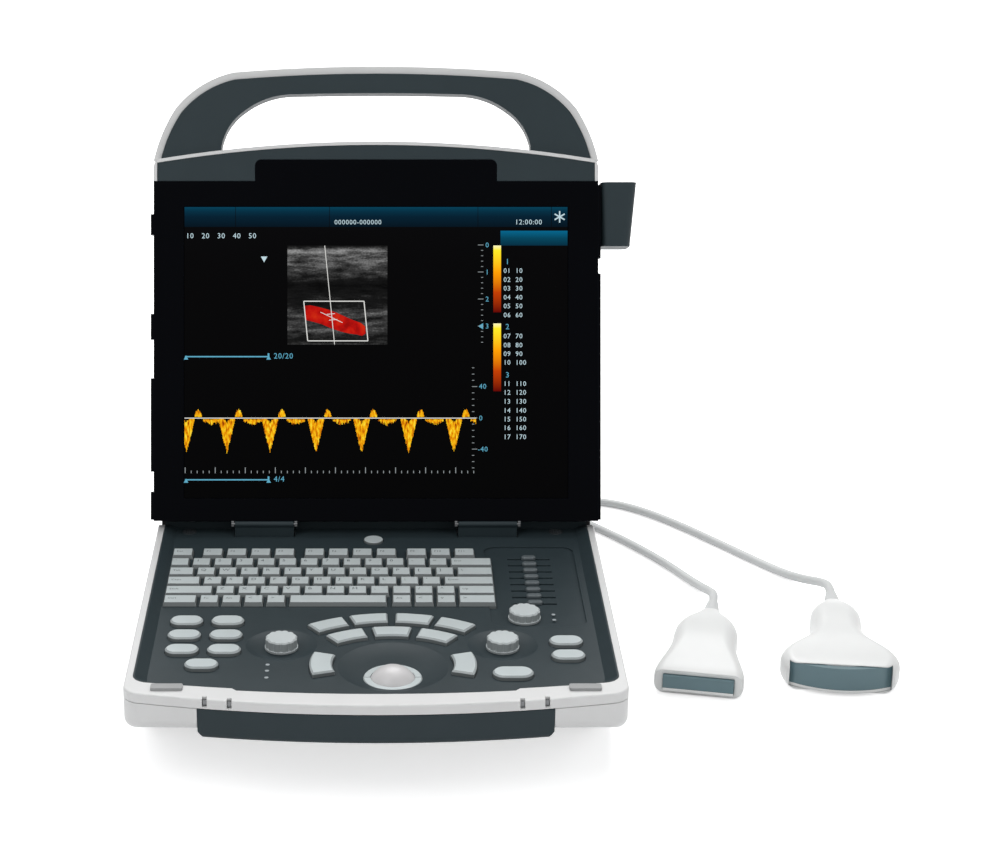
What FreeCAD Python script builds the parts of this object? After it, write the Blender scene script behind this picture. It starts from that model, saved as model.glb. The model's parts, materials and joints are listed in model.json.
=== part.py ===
import FreeCAD, Part
import math
import os

from FreeCAD import Placement, Rotation, Vector

# Portable ultrasound scanner, open for use, with its two probes laid beside it.
# Millimetres. X runs to the operator's right, the operator sits at -Y, +Z is up and the feet stand on z = 0.
# The origin is on the surface it stands on, below the centre of the trolley screw pattern.

SIZES = {
    # base, seen from above; lengths along Y are counted from the lower front edge of the open lid
    "lid_line": 143.0,
    "base_width": 347.0,
    "base_rear": 18.0,
    "front_corner": -283.5,
    "front_middle": -304.0,
    "corner_radius": 14.0,
    "feet_height": 4.0,
    "case_wall": 3.0,
    "case_top": 72.4,
    "parting_gap": 0.5,
    "base_top": 80.0,
    "bevel_back": -180.0,
    "bevel_height": 53.0,
    "bumper_bottom": 50.0,
    "bumper_half": 121.6,
    "bumper_depth": 14.0,
    # control panel
    "trim_side": 5.3,
    "trim_front": 17.5,
    "panel_seam": 0.2,
    "panel_floor": 75.0,
    "panel_skin": 2.0,
    "panel_slope": 9.0,
    "key_top": 78.5,
    "key_depth": 7.7,
    "key_gap": 0.35,
    "key_travel": 2.0,
    "dish_depth": 2.5,
    # rotary controls and trackball
    "knob_radius": 11.9,
    "knob_height": 8.8,
    "shaft_radius": 3.0,
    "running_gap": 0.05,
    "ball_radius": 18.0,
    "ring_wall": 2.7,
    "ring_lap": 2.5,
    "ring_top": 73.2,
    # lid
    "lid_tilt": 20.3,
    "lid_edge": 88.0,
    "lid_width": 352.0,
    "lid_thickness": 40.0,
    "bezel_depth": 14.0,
    "bezel_height": 269.0,
    "lid_top_middle": 300.5,
    "lid_top_corner": 286.0,
    "screen_width": 304.0,
    "screen_height": 231.0,
    "screen_bottom": 18.0,
    "hinge_drop": 2.5,
    "barrel_radius": 3.0,
    "pin_radius": 1.5,
    "handle_top": 361.0,
    "handle_bar": 21.5,
    "handle_depth": 31.0,
    "holder_depth": 44.0,
    # leads
    "cable_diameter": 7.0,
    "coil_radius": 39.0,
}

doc = FreeCAD.newDocument("ultrasound_scanner")
sheet = doc.addObject("Spreadsheet::Sheet", "sizes")
for row, (alias, number) in enumerate(SIZES.items(), start=1):
    sheet.set(f"A{row}", alias)
    sheet.set(f"B{row}", str(number))
    sheet.setAlias(f"B{row}", alias)
doc.recompute()


def size(alias):
    """The number that a cell of the sheet holds."""
    return float(sheet.get(alias))


# ---------------------------------------------------------------- places worked out from the sizes

half_base = size("base_width") / 2
trim_inner = half_base - size("trim_side")
panel_half = trim_inner - size("panel_seam")
panel_front = size("front_middle") + size("trim_front")
panel_floor = size("panel_floor")
panel_under = panel_floor - size("panel_skin")
case_floor = size("feet_height") + size("case_wall")
key_bottom = size("key_top") - size("key_depth")
board_top = key_bottom - size("key_travel") - 1.2
half_lid = size("lid_width") / 2
ring_radius = size("ball_radius") + size("ring_wall")
ring_mouth = size("ball_radius") - size("ring_lap")

tilt = math.radians(size("lid_tilt"))
lid_up = Vector(0, math.sin(tilt), math.cos(tilt))
lid_back = Vector(0, math.cos(tilt), -math.sin(tilt))
BASE = Placement(Vector(0, size("lid_line"), 0), Rotation())
LID = Placement(Vector(0, size("lid_line"), size("lid_edge")), Rotation(Vector(1, 0, 0), 90 - size("lid_tilt")))

KEY_PITCH = 16.55
KEY_CAP = 14.4
KEY_LEFT = -158.0
KEY_TAPER = 21.0
KEY_BEVEL = 1.2
KEY_CROWN = 2.7

LEFT_OVALS = [(x, y) for y in (-163.0, -186.8, -211.0) for x in (-138.0, -108.0)] + [(-122.5, -234.8)]
RIGHT_OVALS = [(136.0, -196.8), (136.0, -220.1)]
OVAL = (23.9, 15.2)
ENTER_KEY = (95.5, -248.1)
ENTER_OVAL = (28.4, 16.8)
ARC_CENTRE = (11.4, -257.7)
ARC_KEY_DEPTH = 15.0
OUTER_ARC = (98.8, 7.6, (-27.4, -9.3, 9.3, 27.4))
INNER_ARC = (76.0, 9.9, (-24.6, 0.0, 24.6))
BALL = (11.7, -247.0)
BALL_DISH = (12.0, -234.0, 39.0)
CRESCENT_RADII = (42.8, 58.8)
CRESCENT_HALF = 17.8
KNOBS = {"menu_knob": (-67.6, -199.3, 25.5), "angle_knob": (90.6, -199.0, 25.3)}
GAIN_KNOB = (108.9, -152.3)
POWER = (-2.0, -10.0)
SLIDERS = [-43.0 - 11.85 * i for i in range(8)]
SLIDER_X = 118.3
SLIDER_REACH = 16.5
WELL = (84.0, -168.0, 154.0, -21.0)
WELL_DEPTH = 1.5
GRILLES = [(-148.6, 9.0), (143.2, 9.0)]
HINGE_X = 88.5
COVER_WIDTH = 46.4
SOCKETS = {"linear": 93.5, "convex": -17.5}
SOCKET_Z = 38.0
SOCKET_RIM = 3.0
PLUG = (62.0, 30.0, 37.0)
LEVER_Y = 44.0
LATCH_X = (99.4, 116.4)


# ---------------------------------------------------------------- outlines, as lists of sketch edges


def line(a, b):
    return Part.LineSegment(Vector(*a, 0), Vector(*b, 0))


def arc(a, via, b):
    return Part.Arc(Vector(*a, 0), Vector(*via, 0), Vector(*b, 0))


def polygon(points):
    return [line(a, b) for a, b in zip(points, points[1:] + points[:1])]


def circle(x, y, radius):
    return [Part.Circle(Vector(x, y, 0), Vector(0, 0, 1), radius)]


def polar(centre, radius, degrees):
    """A point at a bearing, counted clockwise from straight ahead."""
    angle = math.radians(degrees)
    return (centre[0] + radius * math.sin(angle), centre[1] + radius * math.cos(angle))


def rectangle(x, y, width, height):
    a, b = width / 2, height / 2
    return polygon([(x - a, y - b), (x + a, y - b), (x + a, y + b), (x - a, y + b)])


def rounded_rectangle(x, y, width, height, radius):
    a, b, k = width / 2, height / 2, radius * (1 - math.sqrt(0.5))
    edges = []
    corners = [(1, -1), (1, 1), (-1, 1), (-1, -1)]
    for i, (sx, sy) in enumerate(corners):
        along_x = (x + sx * (a - radius), y + sy * b)
        along_y = (x + sx * a, y + sy * (b - radius))
        first, last = (along_x, along_y) if sx == -sy else (along_y, along_x)
        edges.append(arc(first, (x + sx * (a - k), y + sy * (b - k)), last))
        tx, ty = corners[(i + 1) % 4]
        nearest_x = (x + tx * (a - radius), y + ty * b)
        nearest_y = (x + tx * a, y + ty * (b - radius))
        edges.append(line(last, nearest_x if tx == -ty else nearest_y))
    return edges


def stadium(x, y, width, height):
    a, r = (width - height) / 2, height / 2
    return [
        line((x - a, y - r), (x + a, y - r)),
        arc((x + a, y - r), (x + a + r, y), (x + a, y + r)),
        line((x + a, y + r), (x - a, y + r)),
        arc((x - a, y + r), (x - a - r, y), (x - a, y - r)),
    ]


def sector(centre, inner, outer, start, end):
    """A piece of a ring between two bearings."""
    middle = (start + end) / 2
    a, b = polar(centre, outer, start), polar(centre, outer, end)
    c, d = polar(centre, inner, end), polar(centre, inner, start)
    return [arc(a, polar(centre, outer, middle), b), line(b, c), arc(c, polar(centre, inner, middle), d), line(d, a)]


def bow(half_width, corner, middle):
    """Centre and radius of the circle that a bowed front edge follows."""
    sag = corner - middle
    radius = (half_width**2 + sag**2) / (2 * sag)
    return middle + radius, radius


def base_outline(half_width, rear, corner, middle, radius, tab=None):
    """Straight sides, a bowed front and rounded front corners; tab is the half width and depth of a forward step."""
    centre, bow_radius = bow(half_width, corner, middle + (tab[1] if tab else 0))
    x = half_width - radius
    y = centre - math.sqrt((bow_radius - radius) ** 2 - x**2)
    reach = bow_radius / (bow_radius - radius)
    touch = (x * reach, centre + (y - centre) * reach)
    lean = math.atan2(touch[1] - y, touch[0] - x) / 2
    via = (x + radius * math.cos(lean), y + radius * math.sin(lean))

    def on_bow(px, drop=0.0):
        return centre - math.sqrt((bow_radius + drop) ** 2 - px**2)

    def mirrored(p):
        return (-p[0], p[1])

    edges = [
        line((-half_width, rear), (half_width, rear)),
        line((half_width, rear), (half_width, y)),
        arc((half_width, y), via, touch),
    ]
    if tab:
        half, step = tab
        outside = (half + step, on_bow(half + step))
        inside = (half, on_bow(half, step))
        between = (outside[0] + touch[0]) / 2
        edges += [
            arc(touch, (between, on_bow(between)), outside),
            line(outside, inside),
            arc(inside, (0, on_bow(0, step)), mirrored(inside)),
            line(mirrored(inside), mirrored(outside)),
            arc(mirrored(outside), (-between, on_bow(between)), mirrored(touch)),
        ]
    else:
        edges.append(arc(touch, (0, middle), mirrored(touch)))
    edges += [
        arc(mirrored(touch), mirrored(via), (-half_width, y)),
        line((-half_width, y), (-half_width, rear)),
    ]
    return edges


# ---------------------------------------------------------------- features


def new_body(label, placement=BASE):
    body = doc.addObject("PartDesign::Body", label)
    body.Label = label
    body.Placement = placement
    return body


def origin_plane(body, role):
    return next(feature for feature in body.Origin.OriginFeatures if feature.Role == role)


def new_sketch(body, edges, level=0.0, plane="XY_Plane", at=(0.0, 0.0)):
    """A sketch on one of the body's own origin planes; level is a distance or a formula of the sheet's cells."""
    sketch = body.newObject("Sketcher::SketchObject", f"{body.Label}_outline")
    sketch.AttachmentSupport = (origin_plane(body, plane), [""])
    sketch.MapMode = "FlatFace"
    height = level if isinstance(level, float) else 0.0
    sketch.AttachmentOffset = Placement(Vector(at[0], at[1], height), Rotation())
    if isinstance(level, str):
        sketch.setExpression("AttachmentOffset.Base.z", level)
    sketch.addGeometry(edges, False)
    return sketch


def extrude(body, kind, sketch, length, reverse=False, through=False):
    feature = body.newObject(f"PartDesign::{kind}", f"{body.Label}_{kind.lower()}")
    feature.Profile = sketch
    feature.Reversed = reverse
    if through:
        feature.Type = "ThroughAll"
    elif isinstance(length, str):
        feature.setExpression("Length", length)
    else:
        feature.Length = length
    body.Tip = feature
    sketch.Visibility = False
    return feature


def pad(body, edges, level, length, plane="XY_Plane", reverse=False, at=(0.0, 0.0)):
    return extrude(body, "Pad", new_sketch(body, edges, level, plane, at), length, reverse)


def pocket(body, edges, level, length, plane="XY_Plane", reverse=False, through=False, at=(0.0, 0.0)):
    """A cut that has to take something away."""
    doc.recompute()
    before = body.Shape.Volume
    feature = extrude(body, "Pocket", new_sketch(body, edges, level, plane, at), length, reverse, through)
    doc.recompute()
    if not body.Shape.Volume < before - 0.01:
        raise ValueError(f"{feature.Name} cuts nothing")
    return feature


def turn(body, kind, edges, at=(0.0, 0.0)):
    """A revolution or groove about the upright line through a point of the plan; the outline holds radius and height."""
    sketch = new_sketch(body, edges, -at[1], "XZ_Plane", (at[0], 0.0))
    feature = body.newObject(f"PartDesign::{kind}", f"{body.Label}_{kind.lower()}")
    feature.Profile = sketch
    feature.ReferenceAxis = (sketch, ["V_Axis"])
    feature.Angle = 360.0
    body.Tip = feature
    return feature


def loft(body, kind, sections, ruled=True, plane="XY_Plane"):
    """A loft through outlines given as (level, edges)."""
    sketches = [new_sketch(body, edges, level, plane) for level, edges in sections]
    feature = body.newObject(f"PartDesign::{kind}", f"{body.Label}_{kind.lower()}")
    feature.Profile = sketches[0]
    feature.Sections = sketches[1:]
    feature.Ruled = ruled
    body.Tip = feature
    return feature


def soften(body, kind, amount, chosen):
    """A fillet or chamfer on the edges of the body's tip that chosen() picks."""
    doc.recompute()
    base = body.Tip
    names = [f"Edge{i}" for i, edge in enumerate(base.Shape.Edges, start=1) if chosen(edge)]
    if not names:
        raise ValueError(f"{body.Label} has no edge to soften")
    feature = body.newObject(f"PartDesign::{kind}", f"{body.Label}_{kind.lower()}")
    feature.Base = (base, names)
    if kind == "Fillet":
        feature.Radius = amount
    else:
        feature.Size = amount
    body.Tip = feature
    doc.recompute()
    return feature


def flat_at(edge, axis, level):
    """True if the whole edge lies at one level along an axis of its body, 0 to 2."""
    box = edge.BoundBox
    low, high = ((box.XMin, box.XMax), (box.YMin, box.YMax), (box.ZMin, box.ZMax))[axis]
    return abs(low - level) < 0.01 and abs(high - level) < 0.01


# ---------------------------------------------------------------- base housing


TROLLEY_SCREWS = [(x, y - size("lid_line")) for x in (-37.5, 37.5) for y in (-37.5, 37.5)]


def make_lower_case():
    body = new_body("base_lower_case")
    plan = [half_base, size("base_rear"), size("front_corner"), size("front_middle"), size("corner_radius")]
    pad(body, base_outline(*plan), "sizes.feet_height", "sizes.case_top - sizes.feet_height")
    back = size("bevel_back")
    slope = (size("bevel_height") - size("feet_height")) / (back - size("front_corner"))
    low, front = size("feet_height"), size("front_middle") - 20
    tip = low + slope * (back - front)
    pocket(
        body,
        polygon([(back, low), (front, tip), (front, low - 5), (back, low - 5)]),
        -half_base - 5.0,
        2 * half_base + 10.0,
        "YZ_Plane",
        reverse=True,
    )

    def on_underside(edge):
        rises = [v.Point.z - low - slope * max(0.0, back - v.Point.y) for v in edge.Vertexes]
        return all(abs(rise) < 0.01 for rise in rises) and not flat_at(edge, 1, back)

    soften(body, "Fillet", 8.0, on_underside)
    # room inside: a deep part over the flat floor and a part that follows the bevel
    wall = size("case_wall")
    inner_half = half_base - wall
    room_front = size("front_corner") + 2 * wall
    lid_height = size("case_top") + 5
    room = [
        (size("base_rear") - wall, lid_height),
        (size("base_rear") - wall, case_floor),
        (back, case_floor),
        (room_front, case_floor + slope * (back - room_front)),
        (room_front, lid_height),
    ]
    pocket(body, polygon(room), -inner_half, 2 * inner_half, "YZ_Plane", reverse=True)
    # seat for the bumper
    depth = size("bumper_depth")
    seat = rectangle(0, size("front_middle") - 20 + depth, 2 * size("bumper_half") + 0.4, 40.0)
    pocket(body, seat, "sizes.case_top + 1", "sizes.case_top + 1 - sizes.bumper_bottom")
    # recess and sockets for the rear panel
    pocket(
        body,
        rectangle(0, (case_floor + size("case_top")) / 2, 290.0, 50.0),
        -size("base_rear") - 1.0,
        2.6,
        "XZ_Plane",
        reverse=True,
    )
    pocket(
        body,
        [edge for x in SOCKETS.values() for edge in rectangle(x, SOCKET_Z, 60.0, 26.0)],
        -size("base_rear") - 1.0,
        3 * wall,
        "XZ_Plane",
        reverse=True,
    )
    # posts for the boards and the hinge blocks
    posts = [(x, y) for x in (-150.0, 150.0) for y in (-142.0, -24.0)]
    pad(body, [e for x, y in posts for e in circle(x, y, 4.0)], case_floor - 0.5, board_top - 1.6 - case_floor + 0.5)
    hinge_blocks = [e for s in (-1, 1) for e in rectangle(s * HINGE_X, 8.0, COVER_WIDTH, 16.0)]
    pad(body, hinge_blocks, size("case_top") - 13.0, 12.0)
    # trolley screw pattern, threaded from below
    boss = [e for x, y in TROLLEY_SCREWS for e in circle(x, y, 5.0)]
    pad(body, boss, case_floor - 0.5, 6.5)
    holes = [e for x, y in TROLLEY_SCREWS for e in circle(x, y, 1.65)]
    pocket(body, holes, "sizes.feet_height", 8.0, reverse=True)
    return body


def make_bumper():
    body = new_body("front_bumper")
    centre, radius = bow(half_base, size("front_corner"), size("front_middle"))
    half = size("bumper_half")
    back = size("front_middle") + size("bumper_depth")
    nose = centre - math.sqrt(radius**2 - half**2)
    plan = [
        arc((-half, nose), (0, size("front_middle")), (half, nose)),
        line((half, nose), (half, back)),
        line((half, back), (-half, back)),
        line((-half, back), (-half, nose)),
    ]
    pad(body, plan, "sizes.bumper_bottom", "sizes.case_top - sizes.bumper_bottom - 0.1")
    low = size("bumper_bottom")
    for side in (-1, 1):
        corner = polygon([(side * (half - 5.0), low - 1), (side * (half + 1), low - 1), (side * (half + 1), low + 6.5)])
        pocket(body, corner, -size("front_middle") + 40.0, 80.0, "XZ_Plane")
    soften(body, "Fillet", 4.0, lambda e: flat_at(e, 2, low) and e.BoundBox.YMax < back - 0.5)
    return body


def front_edge(x):
    """Where the bowed front of the base is, beside the middle."""
    centre, radius = bow(half_base, size("front_corner"), size("front_middle"))
    return centre - math.sqrt(radius**2 - x**2)


def make_trim():
    body = new_body("base_trim_frame")
    plan = [half_base, size("base_rear"), size("front_corner"), size("front_middle"), size("corner_radius")]
    height = "sizes.base_top - sizes.case_top - sizes.parting_gap"
    pad(body, base_outline(*plan), "sizes.case_top + sizes.parting_gap", height)
    soften(body, "Fillet", 1.6, lambda e: flat_at(e, 2, size("base_top")) and not flat_at(e, 1, size("base_rear")))
    inner = base_outline(trim_inner, size("base_rear") + 10, panel_front + 19.2, panel_front, 12.0, (95.5, 3.0))
    pocket(body, inner, "sizes.base_top + 1", 20.0)
    # the rear ends slope down under the swing of the lid
    ends = polygon([(11.0, 90.0), (11.0, size("base_top")), (19.0, 73.6), (30.0, 73.6), (30.0, 90.0)])
    pocket(body, ends, -half_base - 5.0, 2 * half_base + 10.0, "YZ_Plane", reverse=True)
    # latch slots in the front edge
    slots = [e for s in (-1, 1) for x in LATCH_X for e in rectangle(s * x, front_edge(x) - 3.5, 3.3, 16.0)]
    pocket(body, slots, "sizes.base_top + 1", 7.0)
    return body


def key_rows():
    """Each row of the keyboard as (name, y, [(left edge, width), ...]), in millimetres from the left of the keyboard."""
    u, cap = KEY_PITCH, KEY_CAP

    def run(start, count):
        return [((start + i) * u, cap) for i in range(count)]

    function = [(group + i * 18.6, 16.0) for group, count in ((0, 1), (23.2, 4), (102.2, 4), (181.5, 3)) for i in range(count)]
    last = 14 * u + cap + 1.0
    rows = [
        ("function_keys", -39.2, function),
        ("number_keys", -58.0, run(0, 13) + [(13 * u, last - 13 * u)]),
        ("upper_letter_keys", -75.8, [(0, 19.2)] + run(1.28, 12) + [(13.28 * u, last - 13.28 * u)]),
        ("home_letter_keys", -93.2, [(0, 25.2)] + run(1.65, 11) + [(12.65 * u, last - 12.65 * u)]),
        ("lower_letter_keys", -110.2, [(0, 35.6)] + run(2.28, 11) + [(13.28 * u, last - 13.28 * u)]),
        (
            "bottom_keys",
            -127.0,
            [(0, 24.8)] + run(1.62, 4) + [(5.65 * u, 4.39 * u)] + run(10.27, 3) + [(13.27 * u, last - 13.27 * u)],
        ),
    ]
    return rows


def row_edges(y, keys, grow=0.0):
    edges = []
    for left, width in keys:
        edges += rectangle(KEY_LEFT + left + width / 2, y, width + 2 * grow, KEY_CAP + 2 * grow)
    return edges


def arc_edges(ring, grow=0.0):
    radius, half, bearings = ring
    inner, outer = radius - ARC_KEY_DEPTH / 2 - grow, radius + ARC_KEY_DEPTH / 2 + grow
    half += math.degrees(grow / radius)
    return [e for b in bearings for e in sector(ARC_CENTRE, inner, outer, b - half, b + half)]


def crescent_edges(side, grow=0.0):
    centre = BALL_DISH[:2]
    inner, outer = CRESCENT_RADII[0] - grow, CRESCENT_RADII[1] + grow
    half = CRESCENT_HALF + math.degrees(grow / inner)
    return sector(centre, inner, outer, side * 90 - half, side * 90 + half)


def oval_edges(places, oval, grow=0.0):
    return [e for x, y in places for e in stadium(x, y, oval[0] + 2 * grow, oval[1] + 2 * grow)]


def make_panel():
    body = new_body("control_panel")
    top = base_outline(
        panel_half, size("base_rear"), panel_front + 19.2 + 0.2, panel_front + 0.2, 12.0 - 0.2, (95.3, 3.0)
    )
    pad(body, top, panel_under, size("base_top") - panel_under)
    # tray: the sides slope down to the floor that carries the keys
    slope = size("panel_slope")
    land = 1.0
    beyond = size("base_rear") + 12
    upper = base_outline(panel_half - land, beyond, panel_front + 19.4 + land, panel_front + land, 11.0, (94.5, 3.0))
    lower = base_outline(
        panel_half - slope, beyond, panel_front + 19.4 + slope - 2, panel_front + slope - 2, 8.0, (92.0, 3.0)
    )
    loft(body, "SubtractiveLoft", [(size("base_top"), upper), (panel_floor, lower)])
    doc.recompute()
    # the rear ends of the side walls slope down under the swing of the lid
    ends = polygon([(11.0, 90.0), (11.0, size("base_top")), (17.0, panel_floor), (30.0, panel_floor), (30.0, 90.0)])
    pocket(body, ends, -half_base - 5.0, 2 * half_base + 10.0, "YZ_Plane", reverse=True)
    # upstand along the rear edge, just under the open lid
    rear = size("base_rear")
    crest = [(y, size("lid_edge") - y * math.tan(tilt) - 1.3) for y in (rear - 2.2, rear)]
    upstand = polygon([(rear - 2.2, panel_floor - 1), *crest, (rear, panel_floor - 1)])
    between = HINGE_X - COVER_WIDTH / 2 - 1.0
    outside = HINGE_X + COVER_WIDTH / 2 + 1.0
    for start, end in ((-between, between), (-panel_half + 0.1, -outside), (outside, panel_half - 0.1)):
        pad(body, upstand, start, end - start, "YZ_Plane")
    # thicker skin under the dishes and the slider well
    boss_top, boss = panel_under + 0.5, 4.0
    x0, y0, x1, y1 = WELL
    pad(body, rectangle((x0 + x1) / 2, (y0 + y1) / 2, x1 - x0 + 4, y1 - y0 + 4), boss_top, boss, reverse=True)
    for x, y, radius in KNOBS.values():
        pad(body, circle(x, y, radius + 2), boss_top, boss, reverse=True)
    pad(body, circle(*BALL_DISH[:2], BALL_DISH[2] + 2), boss_top, boss, reverse=True)
    # dishes round the knobs and the trackball
    depth = size("dish_depth")
    for x, y, radius in [*KNOBS.values(), BALL_DISH]:
        flat = radius * 0.52
        dish = [
            line((0, panel_floor - depth), (flat, panel_floor - depth)),
            arc((flat, panel_floor - depth), (radius * 0.8, panel_floor - depth * 0.62), (radius, panel_floor + 0.01)),
            line((radius, panel_floor + 0.01), (0, panel_floor + 0.01)),
            line((0, panel_floor + 0.01), (0, panel_floor - depth)),
        ]
        turn(body, "Groove", dish, (x, y))
        doc.recompute()
    well = rounded_rectangle((x0 + x1) / 2, (y0 + y1) / 2, x1 - x0, y1 - y0, 10.0)
    pocket(body, well, panel_floor, WELL_DEPTH)
    # openings for everything that passes through
    gap = size("key_gap")
    through = []
    for _, y, keys in key_rows():
        through += row_edges(y, keys, gap)
    through += arc_edges(OUTER_ARC, gap) + arc_edges(INNER_ARC, gap)
    through += crescent_edges(-1, gap) + crescent_edges(1, gap)
    through += oval_edges(LEFT_OVALS + RIGHT_OVALS, OVAL, gap) + oval_edges([ENTER_KEY], ENTER_OVAL, gap)
    through += circle(*POWER, 7.5 + gap)
    through += circle(*BALL, ring_radius + 0.2)
    shaft_hole = size("shaft_radius") + size("running_gap")
    for x, y, _ in [*KNOBS.values(), (*GAIN_KNOB, 0)]:
        through += circle(x, y, shaft_hole)
    for y in SLIDERS:
        through += rectangle(SLIDER_X, y, 2 * SLIDER_REACH, 2.6)
    for side in (-1, 1):
        through += rectangle(side * HINGE_X, 8.6, COVER_WIDTH + 1.6, 19.4)
    pocket(body, through, panel_floor + 1.0, 20.0)
    seats = [e for x, y in GRILLES for e in circle(x, y, 5.9)]
    pocket(body, seats, panel_floor, 1.0)
    return body


def make_keys():
    """Caps that stand in their openings; each row is one membrane group."""
    top, bottom = size("key_top"), key_bottom
    groups = [(name, row_edges(y, keys), top) for name, y, keys in key_rows()]
    straight = [name for name, _, _ in groups]
    groups += [
        ("arc_keys", arc_edges(OUTER_ARC) + arc_edges(INNER_ARC), top),
        ("left_oval_keys", oval_edges(LEFT_OVALS, OVAL), top),
        ("right_oval_keys", oval_edges(RIGHT_OVALS, OVAL) + oval_edges([ENTER_KEY], ENTER_OVAL), top),
        ("crescent_key_left", crescent_edges(-1), top),
        ("crescent_key_right", crescent_edges(1), top),
        ("power_button", circle(*POWER, 7.5), panel_floor + 1.8),
    ]
    for name, edges, height in groups:
        body = new_body(name)
        if name == "power_button":
            pad(body, edges, bottom, height - bottom)
            soften(body, "Fillet", 0.8, lambda e, height=height: flat_at(e, 2, height))
            continue
        if name not in straight:
            pad(body, edges, bottom, height - bottom)
            soften(body, "Chamfer", KEY_BEVEL, lambda e, height=height: flat_at(e, 2, height))
            continue
        pad(body, edges, bottom, height - KEY_CROWN - bottom)
        crown = pad(body, edges, height - KEY_CROWN, KEY_CROWN)
        crown.TaperAngle = -KEY_TAPER


def fluted(x, y, radius, lobes=12, depth=0.9):
    """A ring of shallow lobes, as on a knob that is gripped by finger and thumb."""
    step = 360 / lobes
    edges = []
    for i in range(lobes):
        a, b = i * step, (i + 1) * step
        edges.append(arc(polar((x, y), radius - depth, a), polar((x, y), radius, a + step / 2), polar((x, y), radius - depth, b)))
    return edges


def make_knobs():
    places = {name: (x, y, panel_floor - size("dish_depth")) for name, (x, y, _) in KNOBS.items()}
    places["gain_knob"] = (*GAIN_KNOB, panel_floor - WELL_DEPTH)
    for name, (x, y, floor) in places.items():
        body = new_body(name)
        bottom = floor + 0.25
        radius = size("knob_radius")
        height = size("knob_height") - (1.0 if name == "gain_knob" else 0.0)
        pad(body, circle(x, y, radius), bottom, 1.6)
        pad(body, fluted(x, y, radius - 0.4), bottom + 1.6, height - 1.6)
        soften(body, "Chamfer", 1.0, lambda e, z=bottom + height: flat_at(e, 2, z))
        pad(body, circle(x, y, size("shaft_radius")), bottom, 8.0, reverse=True)


def make_sliders():
    for i, y in enumerate(SLIDERS, start=1):
        body = new_body(f"gain_slider_{i}")
        floor = panel_floor - WELL_DEPTH + 0.2
        pad(body, stadium(SLIDER_X, y, 11.0, 5.4), floor, 2.6)
        soften(body, "Chamfer", 0.8, lambda e, z=floor + 2.6: flat_at(e, 2, z))
        pad(body, rectangle(SLIDER_X, y, 5.0, 1.9), floor, 6.0, reverse=True)


def make_trackball():
    ball_centre = size("ring_top") - math.sqrt((size("ball_radius") + 0.3) ** 2 - ring_mouth ** 2)
    radius, cavity = size("ball_radius"), size("ball_radius") + 0.3
    ball = new_body("trackball")
    half = [
        arc((0, ball_centre - radius), (radius, ball_centre), (0, ball_centre + radius)),
        line((0, ball_centre + radius), (0, ball_centre - radius)),
    ]
    turn(ball, "Revolution", half, BALL)

    ring = new_body("trackball_ring")
    outer, mouth, top = ring_radius, ring_mouth, size("ring_top")
    cup = cavity + 1.5
    flange = panel_under - 3.5 - 0.1
    wall = [
        arc((0, ball_centre - cup), polar((0, ball_centre), cup, 135), (cup, ball_centre)),
        line((cup, ball_centre), (outer, ball_centre)),
        line((outer, ball_centre), (outer, flange - 2)),
        line((outer, flange - 2), (outer + 3, flange - 2)),
        line((outer + 3, flange - 2), (outer + 3, flange)),
        line((outer + 3, flange), (outer, flange)),
        line((outer, flange), (outer, top - 0.8)),
        line((outer, top - 0.8), (outer - 0.8, top)),
        line((outer - 0.8, top), (mouth, top)),
        arc((mouth, top), (cavity, ball_centre), (0, ball_centre - cavity)),
        line((0, ball_centre - cavity), (0, ball_centre - cup)),
    ]
    turn(ring, "Revolution", wall, BALL)
    split = [e for s in (-1, 1) for e in rectangle(BALL[0] + s * radius, BALL[1], 8.0, 0.7)]
    pocket(ring, split, top + 1.0, 1.6)


def make_hinge_covers():
    """Base half of each hinge: a block on the deck whose rounded top carries the bore for the lid's pin."""
    axis = hinge_axis()
    barrel = size("barrel_radius")
    body = new_body("hinge_covers")
    foot = size("case_top") - 1.0
    inside = size("base_rear") - size("case_wall") - 0.2
    over_wall = size("case_top") + 0.2
    profile = [
        line((-0.5, foot), (inside, foot)),
        line((inside, foot), (inside, over_wall)),
        line((inside, over_wall), (17.4, over_wall)),
        line((17.4, over_wall), (17.4, panel_floor)),
        line((17.4, panel_floor), (axis.y + barrel + 0.6, axis.z - 1.0)),
        line((axis.y + barrel + 0.6, axis.z - 1.0), (axis.y + barrel, axis.z)),
        arc((axis.y + barrel, axis.z), (axis.y, axis.z + barrel), (axis.y - barrel, axis.z)),
        line((axis.y - barrel, axis.z), (-0.5, axis.z - 2.4)),
        line((-0.5, axis.z - 2.4), (-0.5, foot)),
    ]
    for side in (-1, 1):
        pad(body, profile, side * HINGE_X - COVER_WIDTH / 2, COVER_WIDTH, "YZ_Plane")
    bore = circle(axis.y, axis.z, size("pin_radius") + size("running_gap"))
    pocket(body, bore, -half_base, 2 * half_base, "YZ_Plane", reverse=True)
    return body


def hinge_axis():
    """Where the pins run: a little below and behind the lower front edge of the lid."""
    drop = size("hinge_drop")
    return Vector(0, 0, size("lid_edge")) - lid_up * drop + lid_back * drop


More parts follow.
